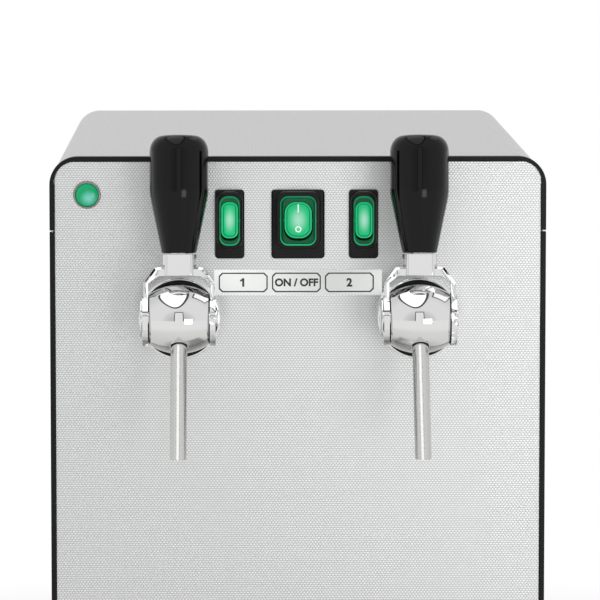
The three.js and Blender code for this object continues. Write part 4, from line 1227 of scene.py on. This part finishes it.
def lever_fork(side, pivot):
    """The fork: a strap outline pulled 10 mm deep, two round ears, and the stem on its crown."""
    right = [(16.4, 0), (16.4, 16.1), (11.3, 23.1), (8.1, 23.6)]
    inner = [(9.8, 19.4), (14.2, 16.1), (14.2, 0)]
    left = [(-x, z) for x, z in reversed(right)]
    inner_left = [(-x, z) for x, z in reversed(inner)]
    outline = right + left + inner_left + inner
    strap = plate(f"fork_{side}", in_metres(outline), 10 * MM)
    place(strap, (0, -5 * MM, 0))
    ear_inner = 14.2
    ear_outer = 16.8
    ear_radius = 11.65
    for start, end in ((-ear_outer, -ear_inner), (ear_inner, ear_outer)):
        profile = in_metres([(ear_radius, start), (ear_radius, end)])
        combine(strap, turned("ear", profile, (0, -1.2 * MM, -1.3 * MM), "X", 72), "UNION")
    bore = turned("cutter", [(3.3 * MM, -20 * MM), (3.3 * MM, 20 * MM)], (0, 0, 0), "X", 32)
    combine(strap, bore, "DIFFERENCE")
    with editing(strap):
        pick(strap, "EDGE", lambda middle, along: (
            abs(abs(middle.y) - 5 * MM) < 0.01 * MM and abs(along.y) < 0.1 and middle.z > 8 * MM
            and (hypot(middle.x, middle.z) > 21.6 * MM or abs(middle.x) > 16.3 * MM)))
        bpy.ops.mesh.bevel(offset=1.1 * MM, segments=1, affect="EDGES")
    soften(strap, 0.3 * MM, 2, 28)
    block = plate("block", rounded(13.2 * MM, 14.9 * MM, 1.3 * MM, 0, -0.85 * MM, 8), 10.0 * MM, "Z")
    place(block, (0, 0, 19.45 * MM))
    soften(block, 0.3 * MM, 2, 60)
    combine(strap, block, "UNION")
    profile = [(6.5, 22.4), (7.8, 24.05), (8.1, 24.4), (8.1, 29.2), (7.8, 29.55), (4, 29.6), (4, 50)]
    combine(strap, turned("stem", in_metres(profile), (0, 0, 0), "Z", 72), "UNION")
    smooth(strap, 30)
    place(strap, pivot, (-LEVER_LEAN, 0, 0))
    return finish(strap, f"lever_{side}", CHROME, "chrome", f"lever_fork_{side}")


def lever_handle(side, pivot):
    """The black handle: a waisted cone turned about its stem, with a round crown."""
    profile = [(7.3, 29.9), (7.75, 29.98), (8.0, 30.25), (8.1, 30.7), (13.05, 54.4)]
    profile += [(13.32, 56.0), (13.51, 57.6), (13.6, 59.4), (13.6, 76.6)]
    for step in range(1, 13):
        angle = step / 13 * pi / 2
        profile.append((13.6 - 6.2 * (1 - cos(angle)), 76.6 + 7.6 * sin(angle)))
    profile += [(7.0, 84.35), (5.2, 84.46), (3.0, 84.55), (0.4, 84.6)]
    piece = turned(f"handle_{side}", in_metres(profile), (0, 0, 0), "Z", 112)
    smooth(piece, 40)
    place(piece, pivot, (-LEVER_LEAN, 0, 0))
    return finish(piece, f"lever_{side}", PHENOLIC, "black_gloss", f"lever_handle_{side}")


for tap_side, tap_pivot in PIVOTS.items():
    tap_body(tap_side, tap_pivot)
    gap_shade_ring(tap_side, tap_pivot)
    rosette(tap_side, tap_pivot)
    spout(tap_side, tap_pivot)
    pivot_pin(tap_side, tap_pivot)
    lever_fork(tap_side, tap_pivot)
    lever_handle(tap_side, tap_pivot)


# Rear fittings

def wine_inlet(side):
    """The barbed inlet: turned tail and thread, with a hexagon pulled round it."""
    low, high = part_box(f"wine_inlet_{side}")
    x, z = middle_of(low, high)
    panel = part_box("rear_panel")[1].y
    tail = high.y
    first_barb = tail - 15 * MM
    profile = [(7.0, low.y), (7.0, panel + 1 * MM), (5.2, panel + 3 * MM), (5.2, first_barb)]
    for barb in range(3):
        start = first_barb + barb * 5 * MM
        profile += [(6.2, start + 0.02 * MM), (5.2, start + 5 * MM)]
    profile += [(5.0, tail), (2.6, tail), (2.6, tail - 30 * MM)]
    piece = turned(f"barbed_inlet_{side}", [(r * MM, y) for r, y in profile], (x, 0, z), "Y", 48)
    hexagon = turned(
        "hexagon", [(10 * MM, panel + FIT), (10 * MM, panel + FIT + 6 * MM)], (x, 0, z), "Y", 6)
    soften(hexagon, 0.5 * MM, 2, 30)
    drill(hexagon, 3 * MM, (panel - MM, panel + 8 * MM), x, z, 32)
    combine(piece, hexagon, "UNION")
    smooth(piece, 30)
    finish(piece, "cabinet", NICKEL, "nickel_brass", f"wine_inlet_{side}")


for inlet_side in ("left", "right"):
    wine_inlet(inlet_side)


def cable_gland():
    """The cable inlet: locknut side, hexagon, ribbed dome and bore."""
    low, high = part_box("cable_gland")
    x, z = middle_of(low, high)
    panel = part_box("rear_panel")[1].y
    hex_back = panel + FIT + 7 * MM
    tail = high.y
    middle = (hex_back + tail) / 2
    profile = [
        (9.6 * MM, low.y), (9.6 * MM, hex_back - 2 * MM), (10.5 * MM, hex_back - 1 * MM),
        (10.5 * MM, middle), (10.2 * MM, middle + 2 * MM), (9.4 * MM, tail - 2 * MM),
        (8.6 * MM, tail - 0.3 * MM), (8.3 * MM, tail), (6.9 * MM, tail), (6.5 * MM, tail - 0.5 * MM),
        (6.5 * MM, low.y + 0.2 * MM)]
    piece = turned("gland_body", profile, (x, 0, z), "Y", 64)
    hexagon = turned("hexagon", [(13.5 * MM, panel + FIT), (13.5 * MM, hex_back)], (x, 0, z), "Y", 6)
    soften(hexagon, 0.7 * MM, 3, 30)
    drill(hexagon, 7.5 * MM, (panel - MM, hex_back + MM), x, z, 32)
    combine(piece, hexagon, "UNION")
    smooth(piece, 30)
    finish(piece, "cabinet", POLYAMIDE, "black_plastic", "cable_gland")


cable_gland()


# Pieces inside the cabinet keep the frame's own shapes

INNER = {
    "heater": CAST_ALUMINIUM, "pump_head": POLYAMIDE, "pump_motor": MOTOR_PAINT, "thermostat": IVORY,
    "tap_hose": SILICONE, "pressure_hose": SILICONE, "suction_hose": SILICONE, "tap_nut": NICKEL,
    "plunger": NICKEL,
}
for stem, inner_material in INNER.items():
    for inner_side in ("left", "right"):
        slots = frame["nodes"][f"{stem}_{inner_side}"].data.materials
        slots.clear()
        slots.append(inner_material)
frame["nodes"]["terminal_block"].data.materials.clear()
frame["nodes"]["terminal_block"].data.materials.append(IVORY)


# Room: a pale floor, a tent that only shiny surfaces see, and soft boxes

FLOOR_FADE = (0.42, 0.8)  # metres from the machine's middle, where the floor turns white
PLAIN_LEVEL = 0.55  # of white, on what isn't shiny
GRAZING = 0.02  # least slope that a direction is divided by


def make_floor():
    """A pale floor that keeps the shadow near the machine and fades to white away from it."""
    deselect()
    bpy.ops.mesh.primitive_plane_add(size=80)
    floor = settle("floor")
    material, tree, shader = new_material("pale_floor", "#cececc", 0.9)
    place_on = add_node(tree, "TexCoord").outputs["Object"]
    away = add_node(tree, "VectorMath", {0: place_on}, operation="LENGTH").outputs["Value"]
    fade = add_node(
        tree, "MapRange", {"Value": away, "From Min": FLOOR_FADE[0], "From Max": FLOOR_FADE[1]},
        interpolation_type="SMOOTHSTEP").outputs[0]
    rays = add_node(tree, "LightPath")
    seen = add_node(
        tree, "Math", {0: rays.outputs["Is Camera Ray"], 1: rays.outputs["Is Glossy Ray"]},
        operation="MAXIMUM").outputs[0]
    seen = add_node(
        tree, "Math", {0: seen, 1: rays.outputs["Is Transmission Ray"]}, operation="MAXIMUM").outputs[0]
    share = add_node(tree, "Math", {0: seen, 1: fade}, operation="MULTIPLY").outputs[0]
    white = add_node(tree, "Emission", {"Color": (1, 1, 1, 1), "Strength": 1.0}).outputs[0]
    mix = add_node(tree, "MixShader", {0: share, 1: shader.outputs[0], 2: white}).outputs[0]
    tree.links.new(mix, tree.nodes["Material Output"].inputs["Surface"])
    floor.data.materials.append(material)


make_floor()


def beyond(tree, slopes, middle, reach, oval):
    """How far a direction lies from a patch's middle: 1 on the patch's edge."""
    from_middle = add_node(
        tree, "VectorMath", {0: slopes, 1: (middle[0], middle[1], 0)}, operation="SUBTRACT").outputs[0]
    scaled = add_node(
        tree, "VectorMath", {0: from_middle, 1: (1 / reach[0], 1 / reach[1], 0)},
        operation="MULTIPLY").outputs[0]
    if oval:
        return add_node(tree, "VectorMath", {0: scaled}, operation="LENGTH").outputs["Value"]
    size = add_node(tree, "VectorMath", {0: scaled}, operation="ABSOLUTE").outputs[0]
    axes = add_node(tree, "SeparateXYZ", {0: size})
    return add_node(
        tree, "Math", {0: axes.outputs["X"], 1: axes.outputs["Y"]}, operation="MAXIMUM").outputs[0]


def tent(tree):
    """The light that shiny metal sees: a pale tent with two boxes overhead and one in front."""
    direction = add_node(tree, "TexCoord").outputs["Generated"]
    axes = add_node(tree, "SeparateXYZ", {0: direction})
    up = add_node(tree, "Math", {0: axes.outputs["Z"], 1: GRAZING}, operation="MAXIMUM").outputs[0]
    ahead = add_node(tree, "Math", {0: axes.outputs["Y"], 1: -1.0}, operation="MULTIPLY").outputs[0]
    ahead = add_node(tree, "Math", {0: ahead, 1: GRAZING}, operation="MAXIMUM").outputs[0]
    planes = []
    for first, second, towards in (("X", "Y", up), ("X", "Z", ahead)):
        slopes = [
            add_node(tree, "Math", {0: axes.outputs[axis], 1: towards}, operation="DIVIDE").outputs[0]
            for axis in (first, second)]
        planes.append(add_node(tree, "CombineXYZ", {0: slopes[0], 1: slopes[1]}).outputs[0])
    ceiling, front = planes
    beside = add_node(
        tree, "MapRange", {"Value": axes.outputs["Y"], "From Min": -1.0, "From Max": -0.78,
                           "To Min": 0.62, "To Max": 0.95}).outputs[0]
    behind = add_node(
        tree, "MapRange", {"Value": axes.outputs["Y"], "From Min": -0.3, "From Max": 0.2,
                           "To Min": 0.95, "To Max": 0.82}).outputs[0]
    level = add_node(tree, "Math", {0: beside, 1: behind}, operation="MINIMUM").outputs[0]
    # each patch: where it is seen, its middle and half size as slopes, oval or not, frame, strength
    patches = (
        (ceiling, (-0.18, 0.02), (0.38, 0.95), True, 0.14, 1.6),
        (ceiling, (0.66, 0.60), (0.26, 0.50), False, 0.10, 1.3),
        (front, (-0.01, 0.26), (0.155, 0.28), False, 0.14, 1.0),
    )
    for slopes, middle, reach, oval, frame_share, strength in patches:
        away = beyond(tree, slopes, middle, reach, oval)
        outside = add_node(
            tree, "MapRange", {"Value": away, "From Min": 1 + frame_share, "From Max": 1.08 + frame_share,
                               "To Min": 0.1, "To Max": 1.0}).outputs[0]
        inside = add_node(tree, "MapRange", {"Value": away, "From Min": 1.0, "From Max": 0.97}).outputs[0]
        level = add_node(tree, "Math", {0: level, 1: outside}, operation="MULTIPLY").outputs[0]
        level = add_node(tree, "Mix", {0: inside, 2: level, 3: strength}, data_type="FLOAT").outputs[0]
    return level


def make_world():
    """White for the camera, a tent of soft light for shiny metal and plain grey light for the rest."""
    world = bpy.data.worlds.new("studio")
    bpy.context.scene.world = world
    world.use_nodes = True
    tree = world.node_tree
    background = tree.nodes["Background"]
    rays = add_node(tree, "LightPath")
    mirrored = add_node(
        tree, "Math", {0: rays.outputs["Is Glossy Ray"], 1: rays.outputs["Is Transmission Ray"]},
        operation="MAXIMUM").outputs[0]
    plain = add_node(tree, "Mix", {0: mirrored, 2: PLAIN_LEVEL, 3: tent(tree)}, data_type="FLOAT").outputs[0]
    level = add_node(
        tree, "Mix", {0: rays.outputs["Is Camera Ray"], 2: plain, 3: 1.0}, data_type="FLOAT").outputs[0]
    tree.links.new(level, background.inputs["Strength"])
    background.inputs["Color"].default_value = (1, 1, 1, 1)


make_world()


def soft_box(name, location, aim, width, height, power, mirrored=False):
    """A soft box. Shiny surfaces see the tent instead of it, unless it is mirrored."""
    data = bpy.data.lights.new(name, "AREA")
    data.shape = "RECTANGLE"
    data.size = width
    data.size_y = height
    data.energy = power
    box = bpy.data.objects.new(name, data)
    box.location = location
    box.rotation_euler = (Vector(aim) - Vector(location)).to_track_quat("-Z", "Y").to_euler()
    box.visible_camera = False
    box.visible_glossy = mirrored
    bpy.context.scene.collection.objects.link(box)


soft_box("front_box", (0.52, -1.75, 0.15), (0, PANEL, 0.15), 0.5, 0.6, 3.0, mirrored=True)
soft_box("key_box", (1.3, -1.5, 1.5), (0, PANEL, 0.25), 0.9, 0.9, 26)
soft_box("fill_box", (-1.5, -1.3, 0.5), (0, PANEL, 0.2), 0.7, 1.2, 15)
soft_box("top_box", (0.1, 0.3, 2.0), (0, 0, 0.3), 1.2, 1.2, 22)

bpy.context.scene.view_settings.view_transform = "Standard"
